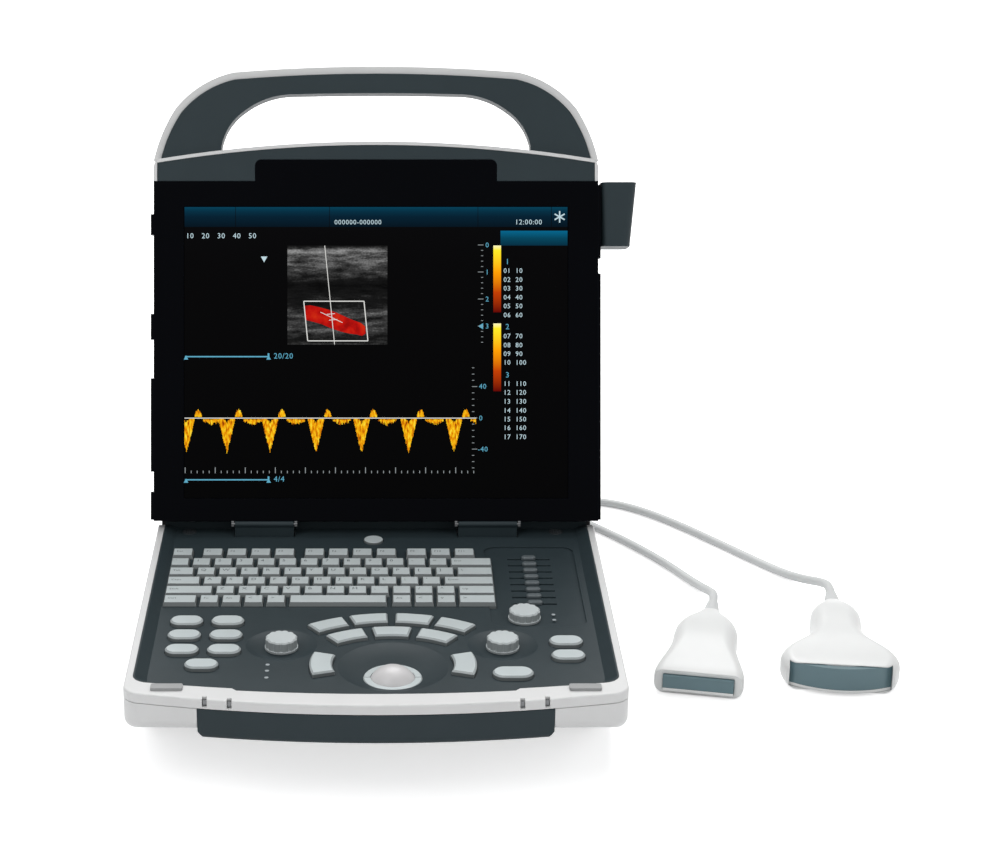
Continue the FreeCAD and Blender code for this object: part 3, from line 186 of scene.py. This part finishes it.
def metal(name, colour, roughness=0.3, stretch=(1, 40, 40)):
    """Brushed or machined metal."""
    m = Nodes(name)
    lines = m.noise(120.0, 4.0, stretch)
    tone = m.ramp(lines, [(0.3, shade(colour, 0.85)), (0.7, shade(colour, 1.1))])
    m.link(tone, m.shader.inputs["Base Color"])
    m.link(m.bump(lines, 0.00003, 0.5), m.shader.inputs["Normal"])
    m.shader.inputs["Metallic"].default_value = 1.0
    m.shader.inputs["Roughness"].default_value = roughness
    return m.material


def glowing(name, colour=None, factor=None, stops=None):
    """A lit part of the display: one colour with a faint grain, or a factor through colour stops."""
    m = Nodes(name)
    m.shader.inputs["Base Color"].default_value = (0.0005, 0.0005, 0.0006, 1)
    m.shader.inputs["Roughness"].default_value = 0.25
    m.shader.inputs["Specular IOR Level"].default_value = 0.02
    m.shader.inputs["Emission Strength"].default_value = 1.0
    if factor:
        colour_out = m.ramp(factor(m), stops)
    else:
        colour_out = m.ramp(m.noise(700.0, 1.0), [(0.35, shade(colour, 0.9)), (0.65, colour)])
    m.link(colour_out, m.shader.inputs["Emission Color"])
    return m.material


def height_factor(low, high):
    """From 0 to 1 up the lid, between two heights in millimetres."""

    def build(m):
        split = m.add("SeparateXYZ")
        m.link(m.place(), split.inputs[0])
        reach = m.add("MapRange")
        reach.inputs["From Min"].default_value = low * MM
        reach.inputs["From Max"].default_value = high * MM
        m.link(split.outputs["Y"], reach.inputs["Value"])
        return reach.outputs["Result"]

    return build


# The edge factor of each finish paints its edges lighter: partly wear, partly a painted highlight.
PLASTICS = {
    "pale_case": dict(colour=(0.74, 0.745, 0.745), roughness=0.4, edge_wear_and_highlight=1.08, blotch=0.02),
    "slate_plastic": dict(
        colour=(0.026, 0.039, 0.045), roughness=0.45, edge_wear_and_highlight=1.7, depth=0.00005, specular=0.18
    ),
    "gloss_black": dict(
        colour=(0.0006, 0.0009, 0.002), roughness=0.2, depth=0.000003, edge_wear_and_highlight=6.0, specular=0.03
    ),
    "screen_glass": dict(
        colour=(0.0006, 0.0006, 0.0008), roughness=0.25, depth=0.000002, edge_wear_and_highlight=1.0, specular=0.02
    ),
    # Key caps: upright sides painted in shade, at 0.32 of the colour of the tops.
    "key_silver": dict(colour=(0.56, 0.62, 0.63), roughness=0.36, edge_wear_and_highlight=1.3, edge=0.0003, side=0.32),
    "slider_grey": dict(colour=(0.1, 0.12, 0.13), roughness=0.4, edge_wear_and_highlight=1.6),
    "ball_pearl": dict(colour=(0.68, 0.67, 0.675), roughness=0.38, depth=0.000004, edge_wear_and_highlight=1.0),
    "grille_metal": dict(colour=(0.03, 0.036, 0.04), roughness=0.4, edge_wear_and_highlight=2.0),
    "rubber_dark": dict(colour=(0.02, 0.02, 0.022), roughness=0.7, depth=0.00008, specular=0.3),
    "pad_grey": dict(colour=(0.34, 0.345, 0.35), roughness=0.6, edge_wear_and_highlight=1.2),
    "board_green": dict(colour=(0.012, 0.1, 0.04), roughness=0.35),
    "probe_white": dict(colour=(0.76, 0.77, 0.765), roughness=0.36, edge_wear_and_highlight=1.04, blotch=0.02, edge=0.001),
    "lens_teal": dict(colour=(0.1, 0.175, 0.2), roughness=0.35, edge_wear_and_highlight=1.3),
    "cable_grey": dict(colour=(0.58, 0.595, 0.595), roughness=0.42, edge_wear_and_highlight=1.0, blotch=0.02),
}
FINISH = {slot: moulded(slot, **look) for slot, look in PLASTICS.items()}
FINISH["steel"] = metal("steel", (0.16, 0.165, 0.17))
FINISH["dark_metal"] = metal("dark_metal", (0.2, 0.21, 0.22), 0.5)
# Knobs: upright faces and flutes painted in shade, at 0.6 of the colour of the tops.
KNOB = moulded("knob_silver", (0.6, 0.65, 0.66), 0.36, edge_wear_and_highlight=1.2, edge=0.0005, side=0.6)


def finish_nodes():
    slots = {part["node"]: part["material_slot"] for part in frame["record"]["subparts"]}
    for node, slot in slots.items():
        piece = bpy.data.objects[node]
        piece.data.materials.clear()
        piece.data.materials.append(KNOB if node.endswith("_knob") else FINISH[slot])


# ---------------------------------------------------------------- building pieces


def mesh_piece(name, points, faces, material, body, matrix=None):
    mesh = bpy.data.meshes.new(name)
    mesh.from_pydata(points, [], faces)
    mesh.materials.append(material)
    mesh.validate()
    piece = bpy.data.objects.new(name, mesh)
    bpy.context.scene.collection.objects.link(piece)
    if matrix:
        piece.matrix_world = matrix
    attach(piece, body)
    return piece


def block(name, low, high, material, body, matrix=None):
    """A plain bar between two corners, in millimetres."""
    spans = [(a * MM, b * MM) for a, b in zip(low, high)]
    points = [(x, y, z) for x in spans[0] for y in spans[1] for z in spans[2]]
    faces = [(0, 1, 3, 2), (4, 6, 7, 5), (0, 4, 5, 1), (2, 3, 7, 6), (0, 2, 6, 4), (1, 5, 7, 3)]
    return mesh_piece(name, points, faces, material, body, matrix)


class Drawing:
    """Flat shapes in one plane, gathered into one piece."""

    def __init__(self, level):
        self.level, self.points, self.faces = level, [], []

    def shape(self, outline):
        first = len(self.points)
        self.points += [(x * MM, y * MM, self.level * MM) for x, y in outline]
        self.faces.append(tuple(range(first, len(self.points))))

    def box(self, x, y, width, height):
        self.shape([(x, y), (x + width, y), (x + width, y + height), (x, y + height)])

    def stroke(self, a, b, width):
        a, b = Vector(a), Vector(b)
        along = (b - a).normalized() * width / 2
        side = Vector((-along.y, along.x))
        self.shape([tuple(corner) for corner in (a + side, a - side, b - side, b + side)])

    def words(self, text, x, y, height):
        """Lettering as a mesh, its left end and its baseline at x, y."""
        curve = bpy.data.curves.new("words", "FONT")
        curve.body, curve.size = text, height * MM * FONT_SCALE
        curve.resolution_u = 2
        curve.space_character = 1.1
        holder = bpy.data.objects.new("words", curve)
        bpy.context.scene.collection.objects.link(holder)
        bpy.context.view_layer.update()
        mesh = bpy.data.meshes.new_from_object(holder)
        first = len(self.points)
        self.points += [(v.co.x + x * MM, v.co.y + y * MM, self.level * MM) for v in mesh.vertices]
        self.faces += [tuple(first + i for i in polygon.vertices) for polygon in mesh.polygons]
        bpy.data.objects.remove(holder)
        bpy.data.curves.remove(curve)
        bpy.data.meshes.remove(mesh)

    def piece(self, name, material, body, slot, matrix=None):
        return mesh_piece(name, self.points, self.faces, material, body, matrix)


# ---------------------------------------------------------------- the picture on the screen


def on_screen(x, y):
    """Millimetres from the picture's top left corner, in the lid's own plane."""
    return SCREEN["left"] + x, SCREEN["top"] - y


def screen_piece(name, material, draw, layer=1):
    drawing = Drawing(SCREEN["face"] + 0.06 * layer)
    draw(drawing)
    return drawing.piece(name, material, "lid", "screen_glass", LID)


def draw_box(drawing, x, y, width, height):
    left, top = on_screen(x, y)
    drawing.box(left, top - height, width, height)


def picture_ground():
    stops = [(0.0, (0.0004, 0.0004, 0.0005)), (0.8, (0.0009, 0.0008, 0.001)), (1.0, (0.0014, 0.0014, 0.0018))]
    low, high = SCREEN["top"] - SCREEN["height"], SCREEN["top"]
    ground = glowing("display_ground", None, height_factor(low, high), stops)
    width, height = SCREEN["width"] - 2 * BORDER, SCREEN["height"] - 2 * BORDER
    screen_piece("screen_ground", ground, lambda d: draw_box(d, BORDER, BORDER, width, height))


def picture_bars():
    low, high = SCREEN["top"] - BORDER - BAR_HEIGHT, SCREEN["top"]
    stops = [
        (0.0, (0.0003, 0.006, 0.013)),
        (0.5, (0.0004, 0.014, 0.03)),
        (0.75, (0.0004, 0.027, 0.054)),
        (1.0, (0.0005, 0.053, 0.1)),
    ]
    bar = glowing("display_bar", None, height_factor(low, high), stops)

    def draw(drawing):
        for start, end in ((0.4, 40.6), (41.0, 115.0), (115.4, 232.5), (232.9, 290.7), (291.1, 303.6)):
            draw_box(drawing, start, BORDER, end - start, BAR_HEIGHT)

    screen_piece("screen_bars", bar, draw, 2)
    top, height = 19.2, 11.7
    stops = [(0.0, (0.0004, 0.027, 0.054)), (0.5, (0.0004, 0.06, 0.11)), (1.0, (0.0006, 0.13, 0.26))]
    reach = height_factor(SCREEN["top"] - top - height, SCREEN["top"] - top)
    tag = glowing("display_tag", None, reach, stops)
    screen_piece("screen_tag", tag, lambda d: draw_box(d, 250.6, top, 53.0, height), 2)


def draw_star(drawing, centre, reach, width):
    for k in range(3):
        turn = math.radians(60 * k + 30)
        arm = Vector((math.cos(turn), math.sin(turn))) * reach
        drawing.stroke(Vector(centre) - arm, Vector(centre) + arm, width)


def picture_text():
    """Plain numbers, in the places of the screen's lettering."""
    pale = glowing("display_text", (0.55, 0.72, 0.78))
    blue = glowing("display_blue_text", (0.12, 0.42, 0.58))
    groups = (
        (50.6, 57.7, 64.6, 71.7, 78.6, 85.7),
        (102.4, 109.5, 116.4, 123.3),
        (140.1, 147.0, 154.1, 161.3, 168.2, 175.0, 182.2),
    )
    levels = [y for group in groups for y in group]

    def values(drawing):
        for row, y in enumerate(levels, 1):
            drawing.words(f"{row:02d}  {10 * row}", *on_screen(252.9, y + 2.0), 4.0)
        drawing.words("12:00:00", *on_screen(262.0, 14.2), 4.2)
        drawing.words("000000-000000", *on_screen(119.0, 14.2), 4.0)
        drawing.words("10   20   30   40   50", *on_screen(1.5, 25.2), 4.4)
        draw_star(drawing, on_screen(297.4, 8.2), 4.6, 1.1)
        x, y = on_screen(63.4, 41.6)
        drawing.shape([(x - 2.6, y + 2.0), (x + 2.6, y + 2.0), (x, y - 2.6)])

    def labels(drawing):
        for text, y in (("1", 43.5), ("2", 95.0), ("3", 133.2)):
            drawing.words(text, *on_screen(254.5, y + 2.2), 4.6)
        for number in range(4):
            drawing.words(str(number), *on_screen(238.6, 32.4 + 21.4 * number), 4.2)
        drawing.words("40", *on_screen(233.5, 144.3), 4.2)
        drawing.words("0", *on_screen(233.5, 169.4), 4.2)
        drawing.words("-40", *on_screen(232.5, 194.0), 4.2)
        drawing.words("20/20", *on_screen(71.0, 120.4), 4.6)
        drawing.words("4/4", *on_screen(71.0, 217.8), 4.6)
        for y in (118.4, 215.9):
            draw_box(drawing, 0.8, y, 66.0, 1.0)
            for x in (1.6, 67.0):
                left, level = on_screen(x, y + 2.8)
                drawing.shape([(left - 1.8, level), (left + 1.8, level), (left, level + 3.4)])
            draw_box(drawing, 66.2, y - 2.2, 1.4, 4.8)
        tip = on_screen(232.8, 94.8)
        drawing.shape([tip, (tip[0] + 4.0, tip[1] + 2.4), (tip[0] + 4.0, tip[1] - 2.4)])

    screen_piece("screen_values", pale, values, 3)
    screen_piece("screen_labels", blue, labels, 3)


def picture_scales():
    tick = glowing("display_ticks", (0.3, 0.33, 0.34))

    def draw(drawing):
        for i in range(19):
            major = i % 5 == 0
            draw_box(drawing, 232.7 if major else 235.2, 30.2 + 4.28 * i, 4.4 if major else 1.6, 0.5)
        for i in range(17):
            major = i % 5 == 3
            draw_box(drawing, 228.0, 127.5 + 4.95 * i, 4.2 if major else 1.8, 0.5)
        for i in range(49):
            tall = 4.6 if i % 5 == 0 else 2.0
            draw_box(drawing, 0.6 + 4.76 * i, 211.2 - tall, 0.6, tall)

    screen_piece("screen_ticks", tick, draw, 3)
    stops = [
        (0.0, (0.12, 0.0, 0.0)),
        (0.3, (0.55, 0.05, 0.0)),
        (0.6, (1.0, 0.35, 0.0)),
        (0.93, (1.0, 0.85, 0.02)),
        (1.0, (1.0, 0.95, 0.5)),
    ]
    for index, (top, bottom) in enumerate(((30.9, 83.8), (92.6, 146.3)), start=1):
        low, high = SCREEN["top"] - bottom, SCREEN["top"] - top
        bar = glowing(f"display_colour_bar_{index}", None, height_factor(low, high), stops)
        place = (244.9, top, 6.1, bottom - top)
        screen_piece(f"screen_colour_bar_{index}", bar, lambda d, place=place: draw_box(d, *place), 3)


def echo_factor(m):
    """Layered speckle of a section through tissue: bands that dip a little, brighter near the skin."""
    split = m.add("SeparateXYZ")
    m.link(m.place(), split.inputs[0])
    depth = m.add("MapRange")
    depth.inputs["From Min"].default_value = (SCREEN["top"] - ECHO["top"]) * MM
    depth.inputs["From Max"].default_value = (SCREEN["top"] - 110.0) * MM
    m.link(split.outputs["Y"], depth.inputs["Value"])
    bands = m.add("ValToRGB")
    skin, muscle = [0.2, 0.6, 0.42, 0.5, 0.4, 0.36, 0.3], [0.2, 0.16, 0.2, 0.26, 0.2, 0.3]
    deep = [0.44, 0.3, 0.36, 0.42, 0.3, 0.24, 0.34]
    levels = skin + muscle + deep
    elements = bands.color_ramp.elements
    while len(elements) < len(levels):
        elements.new(0.5)
    for i, (element, level) in enumerate(zip(elements, levels)):
        element.position = i / (len(levels) - 1)
        element.color = (level, level, level, 1)
    m.link(depth.outputs["Result"], bands.inputs["Fac"])
    streaks = m.noise(60.0, 7.0, (1.0, 4.5, 1.0), 0.62)
    speckle = m.noise(620.0, 2.0, (1.0, 1.5, 1.0))
    mixed = m.add("Math", operation="MULTIPLY")
    m.link(streaks, mixed.inputs[0])
    bright = m.add("MapRange")
    bright.inputs["To Min"].default_value = 0.7
    bright.inputs["To Max"].default_value = 1.3
    m.link(speckle, bright.inputs["Value"])
    m.link(bright.outputs["Result"], mixed.inputs[1])
    layered = m.add("Math", operation="MULTIPLY")
    m.link(mixed.outputs[0], layered.inputs[0])
    m.link(bands.outputs["Color"], layered.inputs[1])
    return layered.outputs[0]


def picture_echo():
    tones = ((0.06, 0.0012), (0.13, 0.008), (0.2, 0.045), (0.32, 0.22), (0.42, 0.42))
    grey = [(position, (tone, tone, tone)) for position, tone in tones]
    echo = glowing("display_echo", None, echo_factor, grey)
    place = (ECHO["left"], ECHO["top"], ECHO["width"], ECHO["height"])
    screen_piece("screen_echo_image", echo, lambda d: draw_box(d, *place), 2)
    white = glowing("display_white", (0.75, 0.75, 0.72))

    def frame_lines(drawing):
        slanted = ((94.8, 75.0), (142.5, 75.0), (145.6, 106.4), (97.9, 106.4))
        corners = [on_screen(x, y) for x, y in slanted]
        for a, b in zip(corners, corners[1:] + corners[:1]):
            drawing.stroke(a, b, 0.8)
        drawing.stroke(on_screen(111.4, 31.0), on_screen(119.2, 109.2), 0.6)
        drawing.stroke(on_screen(108.0, 83.6), on_screen(125.5, 92.0), 0.5)
        for x, y in ((113.0, 85.4), (114.8, 90.0)):
            drawing.stroke(on_screen(x, y), on_screen(x + 6.5, y - 0.6), 0.5)
        draw_box(drawing, 0.4, 167.2, 231.0, 0.7)

    screen_piece("screen_lines", white, frame_lines, 4)
    stops = [(0.35, (0.3, 0.003, 0.002)), (0.5, (0.5, 0.005, 0.003)), (0.72, (0.62, 0.025, 0.005))]
    red = glowing("display_flow", None, lambda m: m.noise(120.0, 4.0), stops)
    upper = [(95.6, 78.6), (100.0, 78.2), (106.5, 79.6), (114.0, 81.6), (121.0, 84.2)]
    upper += [(128.0, 87.4), (134.0, 90.0), (140.0, 92.2), (143.4, 95.0)]
    lower = [(143.8, 100.6), (141.0, 102.4), (137.0, 101.4), (131.0, 100.6), (124.0, 99.0)]
    lower += [(116.0, 96.2), (109.0, 93.2), (102.0, 91.2), (96.4, 90.0)]
    screen_piece("screen_flow", red, lambda d: d.shape([on_screen(x, y) for x, y in upper + lower]), 3)


def picture_trace():
    """Velocity trace: at each beat a deep spike, then a narrow peak above the base line and a low wave."""
    rng = random.Random(7)
    stops = [(0.3, (0.25, 0.02, 0.0)), (0.45, (0.85, 0.28, 0.0))]
    stops += [(0.6, (1.0, 0.62, 0.01)), (0.75, (1.0, 0.85, 0.1))]
    fire = glowing("display_trace", None, lambda m: m.noise(420.0, 4.0, (1.6, 0.45, 1.0)), stops)
    base, beats = 167.5, [1.9, 33.9, 68.1, 104.5, 140.6, 177.9, 213.7]

    def draw(drawing):
        def strip(x, top, bottom, width=0.42):
            if 0.4 < x < 231.4 and bottom - top > 0.3:
                draw_box(drawing, x - width / 2, top, width, bottom - top)

        for beat in beats:
            for i in range(-15, 16):
                share = abs(i) / 15
                x = beat + 6.6 * i / 15
                depth = 26.5 * (1 - share**1.15) * rng.uniform(0.9, 1.04)
                inner = max(0.0, 4.5 - 11.0 * share) * rng.uniform(0.3, 1.0)
                strip(x, base + 0.6 + inner, base + 0.6 + depth)
            for i in range(-6, 7):
                x = beat + 9.4 + 2.6 * i / 6
                arch = math.sqrt(max(0.0, 1 - (i / 6.6) ** 2))
                top = base - 7.0 * arch * rng.uniform(0.8, 1.05)
                strip(x, top, base - 0.4 - rng.uniform(0, 0.8))
            for i in range(-16, 17):
                x = beat + 20.4 + 7.0 * i / 16
                top = base + 0.7 + rng.uniform(0, 0.6)
                strip(x, top, base + 6.2 * (1 - 0.55 * abs(i / 16)) * rng.uniform(0.6, 1.05))

    screen_piece("screen_trace", fire, draw, 3)


# ---------------------------------------------------------------- legends on the keys


def islands(node):
    """Boxes of the separate solids of a node, row by row from the back, left to right."""
    piece = bpy.data.objects[node]
    shape = bmesh.new()
    shape.from_mesh(piece.data)
    shape.transform(piece.matrix_world)
    bmesh.ops.remove_doubles(shape, verts=shape.verts, dist=0.000002)
    left, boxes = set(shape.verts), []
    while left:
        front, points = [left.pop()], []
        while front:
            vertex = front.pop()
            points.append(vertex.co.copy())
            for edge in vertex.link_edges:
                other = edge.other_vert(vertex)
                if other in left:
                    left.remove(other)
                    front.append(other)
        low = Vector([min(p[k] for p in points) for k in range(3)])
        high = Vector([max(p[k] for p in points) for k in range(3)])
        boxes.append((low, high))
    shape.free()
    return sorted(boxes, key=lambda box: (-round((box[0].y + box[1].y) * 100), box[0].x))


WORD_SIZE, LETTER_SIZE = 2.6, 4.0
LEGENDS = {
    "function_keys": ["Esc"] + [f"F{i}" for i in range(1, 12)],
    "number_keys": list("`1234567890-") + ["=", "Del"],
    "upper_letter_keys": ["Tab"] + list("QWERTYUIOP[]") + ["\\"],
    "home_letter_keys": ["Caps"] + list("ASDFGHJKL;'") + ["Enter"],
    "lower_letter_keys": ["Shift"] + list("ZXCVBNM,./") + ["^", "Up"],
    "bottom_keys": ["Ctrl", "Fn", "Alt", "<", ">", "", "Alt", "<", "v", ">"],
}


def key_legends():
    ink = moulded("legend_ink", (0.07, 0.09, 0.1), 0.6, edge_wear_and_highlight=1.0, specular=0.2)
    for node, legends in LEGENDS.items():
        boxes = islands(node)
        top = boxes[0][1].z / MM + 0.03
        drawing = Drawing(top)
        for (low, high), text in zip(boxes, legends):
            if text:
                size = WORD_SIZE if len(text) > 1 else LETTER_SIZE
                drawing.words(text, low.x / MM + 3.0, high.y / MM - 7.2, size)
        drawing.piece(f"{node}_legends", ink, f"{node}_body", "key_silver")


def panel_marks():
    """Small round lamps beside the controls."""
    ink = moulded("panel_ink", (0.34, 0.38, 0.4), 0.5, edge_wear_and_highlight=1.0)
    drawing = Drawing(PANEL_TOP + 0.04)
    for x, y in ((-76.2, -231.0), (-76.2, -240.7), (-76.2, -251.3), (130.5, -147.6), (130.5, -156.8)):
        rays = [math.radians(a) for a in range(0, 360, 24)]
        dot = [(x + 1.5 * math.cos(a), y + LID_LINE + 1.5 * math.sin(a)) for a in rays]
        drawing.shape(dot)
    drawing.piece("panel_marks", ink, "base", "slate_plastic")


def lid_seal():
    """Dark strip under the lid, just behind the base: a painted shadow that fills the slit over the panel's
    upstand.
    """
    low, high = (-171.5, -9.5, -25.2), (171.5, 0.2, -23.6)
    block("lid_seal", low, high, FINISH["rubber_dark"], "lid", LID)


RIM_HEIGHT = 2.4


def probe_rims():
    """White lower rim of each lens: a strip of the lens's own face, just in front of it."""
    for probe in ("linear", "convex"):
        lens = bpy.data.objects[f"{probe}_probe_lens"]
        shape = bmesh.new()
        shape.from_mesh(lens.data)
        shape.transform(lens.matrix_world)
        foot = min(v.co.z for v in shape.verts)
        geometry = shape.verts[:] + shape.edges[:] + shape.faces[:]
        cut = (0, 0, foot + RIM_HEIGHT * MM)
        bmesh.ops.bisect_plane(shape, geom=geometry, plane_co=cut, plane_no=(0, 0, 1), clear_outer=True)
        bmesh.ops.translate(shape, verts=shape.verts, vec=(0, -0.25 * MM, 0))
        mesh = bpy.data.meshes.new(f"{probe}_rim")
        shape.to_mesh(mesh)
        shape.free()
        mesh.materials.clear()
        mesh.materials.append(FINISH["probe_white"])
        rim = bpy.data.objects.new(f"{probe}_rim", mesh)
        bpy.context.scene.collection.objects.link(rim)
        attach(rim, "base")


# ---------------------------------------------------------------- leads

# Lengths in metres, measured along each lead's own line. The routes are those of part.py, in
# millimetres from the lid's line.
SOCKETS = {"linear": 93.5, "convex": -17.5}
SOCKET_Z = 38.0
COIL_Y, COIL_RADIUS = 190.0, 39.0
COIL_TURN = COIL_RADIUS + CABLE / 2
FLOOR = CABLE / 2
EXIT_BEARING = {"linear": 50.0, "convex": 0.0}
PLUG_END = 58.2
BOOT = 26.0
LEAD_IN = [(102.0, 38.0), (120.0, 33.5), (138.0, 27.0), (155.0, 20.5), (169.5, 17.5)]
LEAD_OUT = {
    "linear": [
        (221.0, 150.0, FLOOR),
        (245.0, 110.0, FLOOR),
        (261.0, 76.0, FLOOR),
        (268.5, 57.0, 5.5),
        (273.0, 38.0, 10.0),
    ],
    "convex": [
        (103.0, 239.0, FLOOR),
        (140.0, 246.0, FLOOR),
        (176.0, 251.0, FLOOR),
        (208.0, 247.0, FLOOR),
        (235.0, 229.0, FLOOR),
        (263.0, 198.0, FLOOR),
        (294.0, 155.0, FLOOR),
        (324.0, 112.0, FLOOR),
        (343.0, 86.0, 4.0),
        (356.0, 68.5, 7.0),
        (365.5, 51.0, 12.5),
    ],
}
# The middle of each probe's lens, its turn in degrees, and how far back and how high its neck is.
PROBES = {
    "linear": ((241.6, -134.0), -12.0, (112.0, 15.0)),
    "convex": ((350.0, -127.0), -7.0, (116.0, 17.5)),
}


def coil_points(name, exit_bearing):
    """Turns of a coil, clockwise from the lead-in: two in each of three layers, from the top down."""
    x, y = SOCKETS[name] + COIL_TURN, COIL_Y
    outer, inner = COIL_TURN, COIL_RADIUS - FLOOR
    lanes = [(outer, 2.5), (inner, 2.5), (inner, 1.5), (outer, 1.5), (inner, 0.5), (outer, 0.5)]
    start, end = -90.0, 360.0 * len(lanes) - 90.0 + (exit_bearing + 90.0) - 360.0
    steps = int((end - start) / 22.5)
    points = []
    for i in range(1, steps):
        bearing = start + (end - start) * i / steps
        position = (bearing + 90) / 360
        lane = min(int(position), len(lanes) - 1)
        share = position - lane
        blend = max(0.0, (share - 0.85) / 0.15)
        a, b = lanes[lane], lanes[min(lane + 1, len(lanes) - 1)]
        radius = a[0] + (b[0] - a[0]) * blend
        height = (a[1] + (b[1] - a[1]) * blend) * CABLE
        angle = math.radians(bearing)
        points.append((x + radius * math.sin(angle), y + radius * math.cos(angle), height))
    return points


def lead(name):
    x = SOCKETS[name]
    start = PLUG_END + BOOT
    points = [(x, start, SOCKET_Z)] + [(x, y, z) for y, z in LEAD_IN]
    points += coil_points(name, EXIT_BEARING[name])
    bearing = math.radians(EXIT_BEARING[name])
    outwards = Vector((math.sin(bearing), math.cos(bearing), 0))
    onwards = Vector((outwards.y, -outwards.x, 0))
    leaves = Vector((x + COIL_TURN, COIL_Y, FLOOR)) + outwards * COIL_TURN
    points += [tuple(leaves), tuple(leaves + onwards * 20), tuple(leaves + onwards * 43)]
    points += LEAD_OUT[name]
    (px, py), turn, (back, height) = PROBES[name]
    heading = Vector((math.sin(math.radians(-turn)), math.cos(math.radians(-turn)), 0))
    neck = Vector((px, py, height)) + heading * back
    points += [tuple(neck + heading * (BOOT + 19)), tuple(neck + heading * BOOT)]
    curve = bpy.data.curves.new(f"{name}_lead", "CURVE")
    curve.dimensions = "3D"
    spline = curve.splines.new("NURBS")
    spline.points.add(len(points) - 1)
    for point, (a, b, c) in zip(spline.points, points):
        point.co = (a * MM, (b + LID_LINE) * MM, c * MM, 1)
    spline.order_u = 3
    spline.use_endpoint_u = True
    curve.bevel_depth = CABLE / 2 * MM
    curve.bevel_resolution = 4
    curve.resolution_u = 6
    curve.use_fill_caps = True
    curve.materials.append(FINISH["cable_grey"])
    piece = bpy.data.objects.new(f"{name}_lead", curve)
    bpy.context.scene.collection.objects.link(piece)
    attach(piece, "base")
    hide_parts(f"{name}_cord", f"{name}_coil")


# ---------------------------------------------------------------- floor, light, camera


def seen_directly(tree):
    """1 for the rays that show the background: camera, glossy and transmission."""
    path = tree.nodes.new("ShaderNodeLightPath")
    total = path.outputs["Is Camera Ray"]
    for name in ("Is Glossy Ray", "Is Transmission Ray"):
        more = tree.nodes.new("ShaderNodeMath")
        more.operation = "MAXIMUM"
        tree.links.new(total, more.inputs[0])
        tree.links.new(path.outputs[name], more.inputs[1])
        total = more.outputs[0]
    return total


def floor():
    bpy.ops.mesh.primitive_plane_add(size=14, location=(0, 1.5, -0.0002))
    plane = bpy.context.object
    plane.name = "floor"
    m = Nodes("floor")
    m.shader.inputs["Base Color"].default_value = (0.86, 0.86, 0.865, 1)
    m.shader.inputs["Roughness"].default_value = 0.8
    seen = seen_directly(m.tree)
    reach = m.add("VectorMath", operation="LENGTH")
    m.link(m.add("NewGeometry").outputs["Position"], reach.inputs[0])
    fade = m.add("MapRange")
    fade.inputs["From Min"].default_value = 0.35
    fade.inputs["From Max"].default_value = 1.6
    fade.inputs["To Min"].default_value = 0.56
    fade.inputs["To Max"].default_value = 1.0
    m.link(reach.outputs["Value"], fade.inputs["Value"])
    strength = m.add("Math", operation="MULTIPLY")
    m.link(seen, strength.inputs[0])
    m.link(fade.outputs["Result"], strength.inputs[1])
    glow = m.add("Emission")
    m.link(strength.outputs[0], glow.inputs["Strength"])
    both = m.add("AddShader")
    m.link(m.shader.outputs[0], both.inputs[0])
    m.link(glow.outputs[0], both.inputs[1])
    m.link(both.outputs[0], m.tree.nodes["Material Output"].inputs["Surface"])
    plane.data.materials.append(m.material)


def lamp(name, location, target, size, power):
    data = bpy.data.lights.new(name, "AREA")
    data.shape, data.size, data.energy = "DISK", size, power
    lamp_object = bpy.data.objects.new(name, data)
    lamp_object.location = location
    aim = Vector(target) - Vector(location)
    lamp_object.rotation_euler = aim.to_track_quat("-Z", "Y").to_euler()
    bpy.context.scene.collection.objects.link(lamp_object)


def light():
    world = bpy.data.worlds.new("studio")
    world.use_nodes = True
    tree = world.node_tree
    background = tree.nodes["Background"]
    level = tree.nodes.new("ShaderNodeMix")
    level.data_type = "FLOAT"
    level.inputs[2].default_value = 0.34
    level.inputs[3].default_value = 1.0
    tree.links.new(seen_directly(tree), level.inputs[0])
    tree.links.new(level.outputs[0], background.inputs["Strength"])
    background.inputs["Color"].default_value = (1, 1, 1, 1)
    bpy.context.scene.world = world
    lamp("key_light", (-1.1, -1.3, 2.2), (0.05, 0.0, 0.1), 1.6, 19)
    lamp("fill_light", (1.7, -1.2, 1.5), (0.05, 0.0, 0.1), 1.4, 8)
    lamp("top_light", (0.1, 1.3, 2.0), (0.05, 0.0, 0.1), 1.6, 34)


def camera():
    data = bpy.data.cameras.new("camera")
    data.lens, data.sensor_width = 86.04, 36.0
    data.shift_x = 0.124
    view = bpy.data.objects.new("camera", data)
    view.location = (0, -1.60485, 0.81642)
    view.rotation_euler = (math.radians(69.7), 0, 0)
    bpy.context.scene.collection.objects.link(view)
    bpy.context.scene.camera = view


finish_nodes()
picture_ground()
picture_bars()
picture_text()
picture_scales()
picture_echo()
picture_trace()
key_legends()
panel_marks()
lid_seal()
probe_rims()
for lead_name in SOCKETS:
    lead(lead_name)
floor()
light()
camera()
bpy.context.scene.view_settings.view_transform = "Standard"
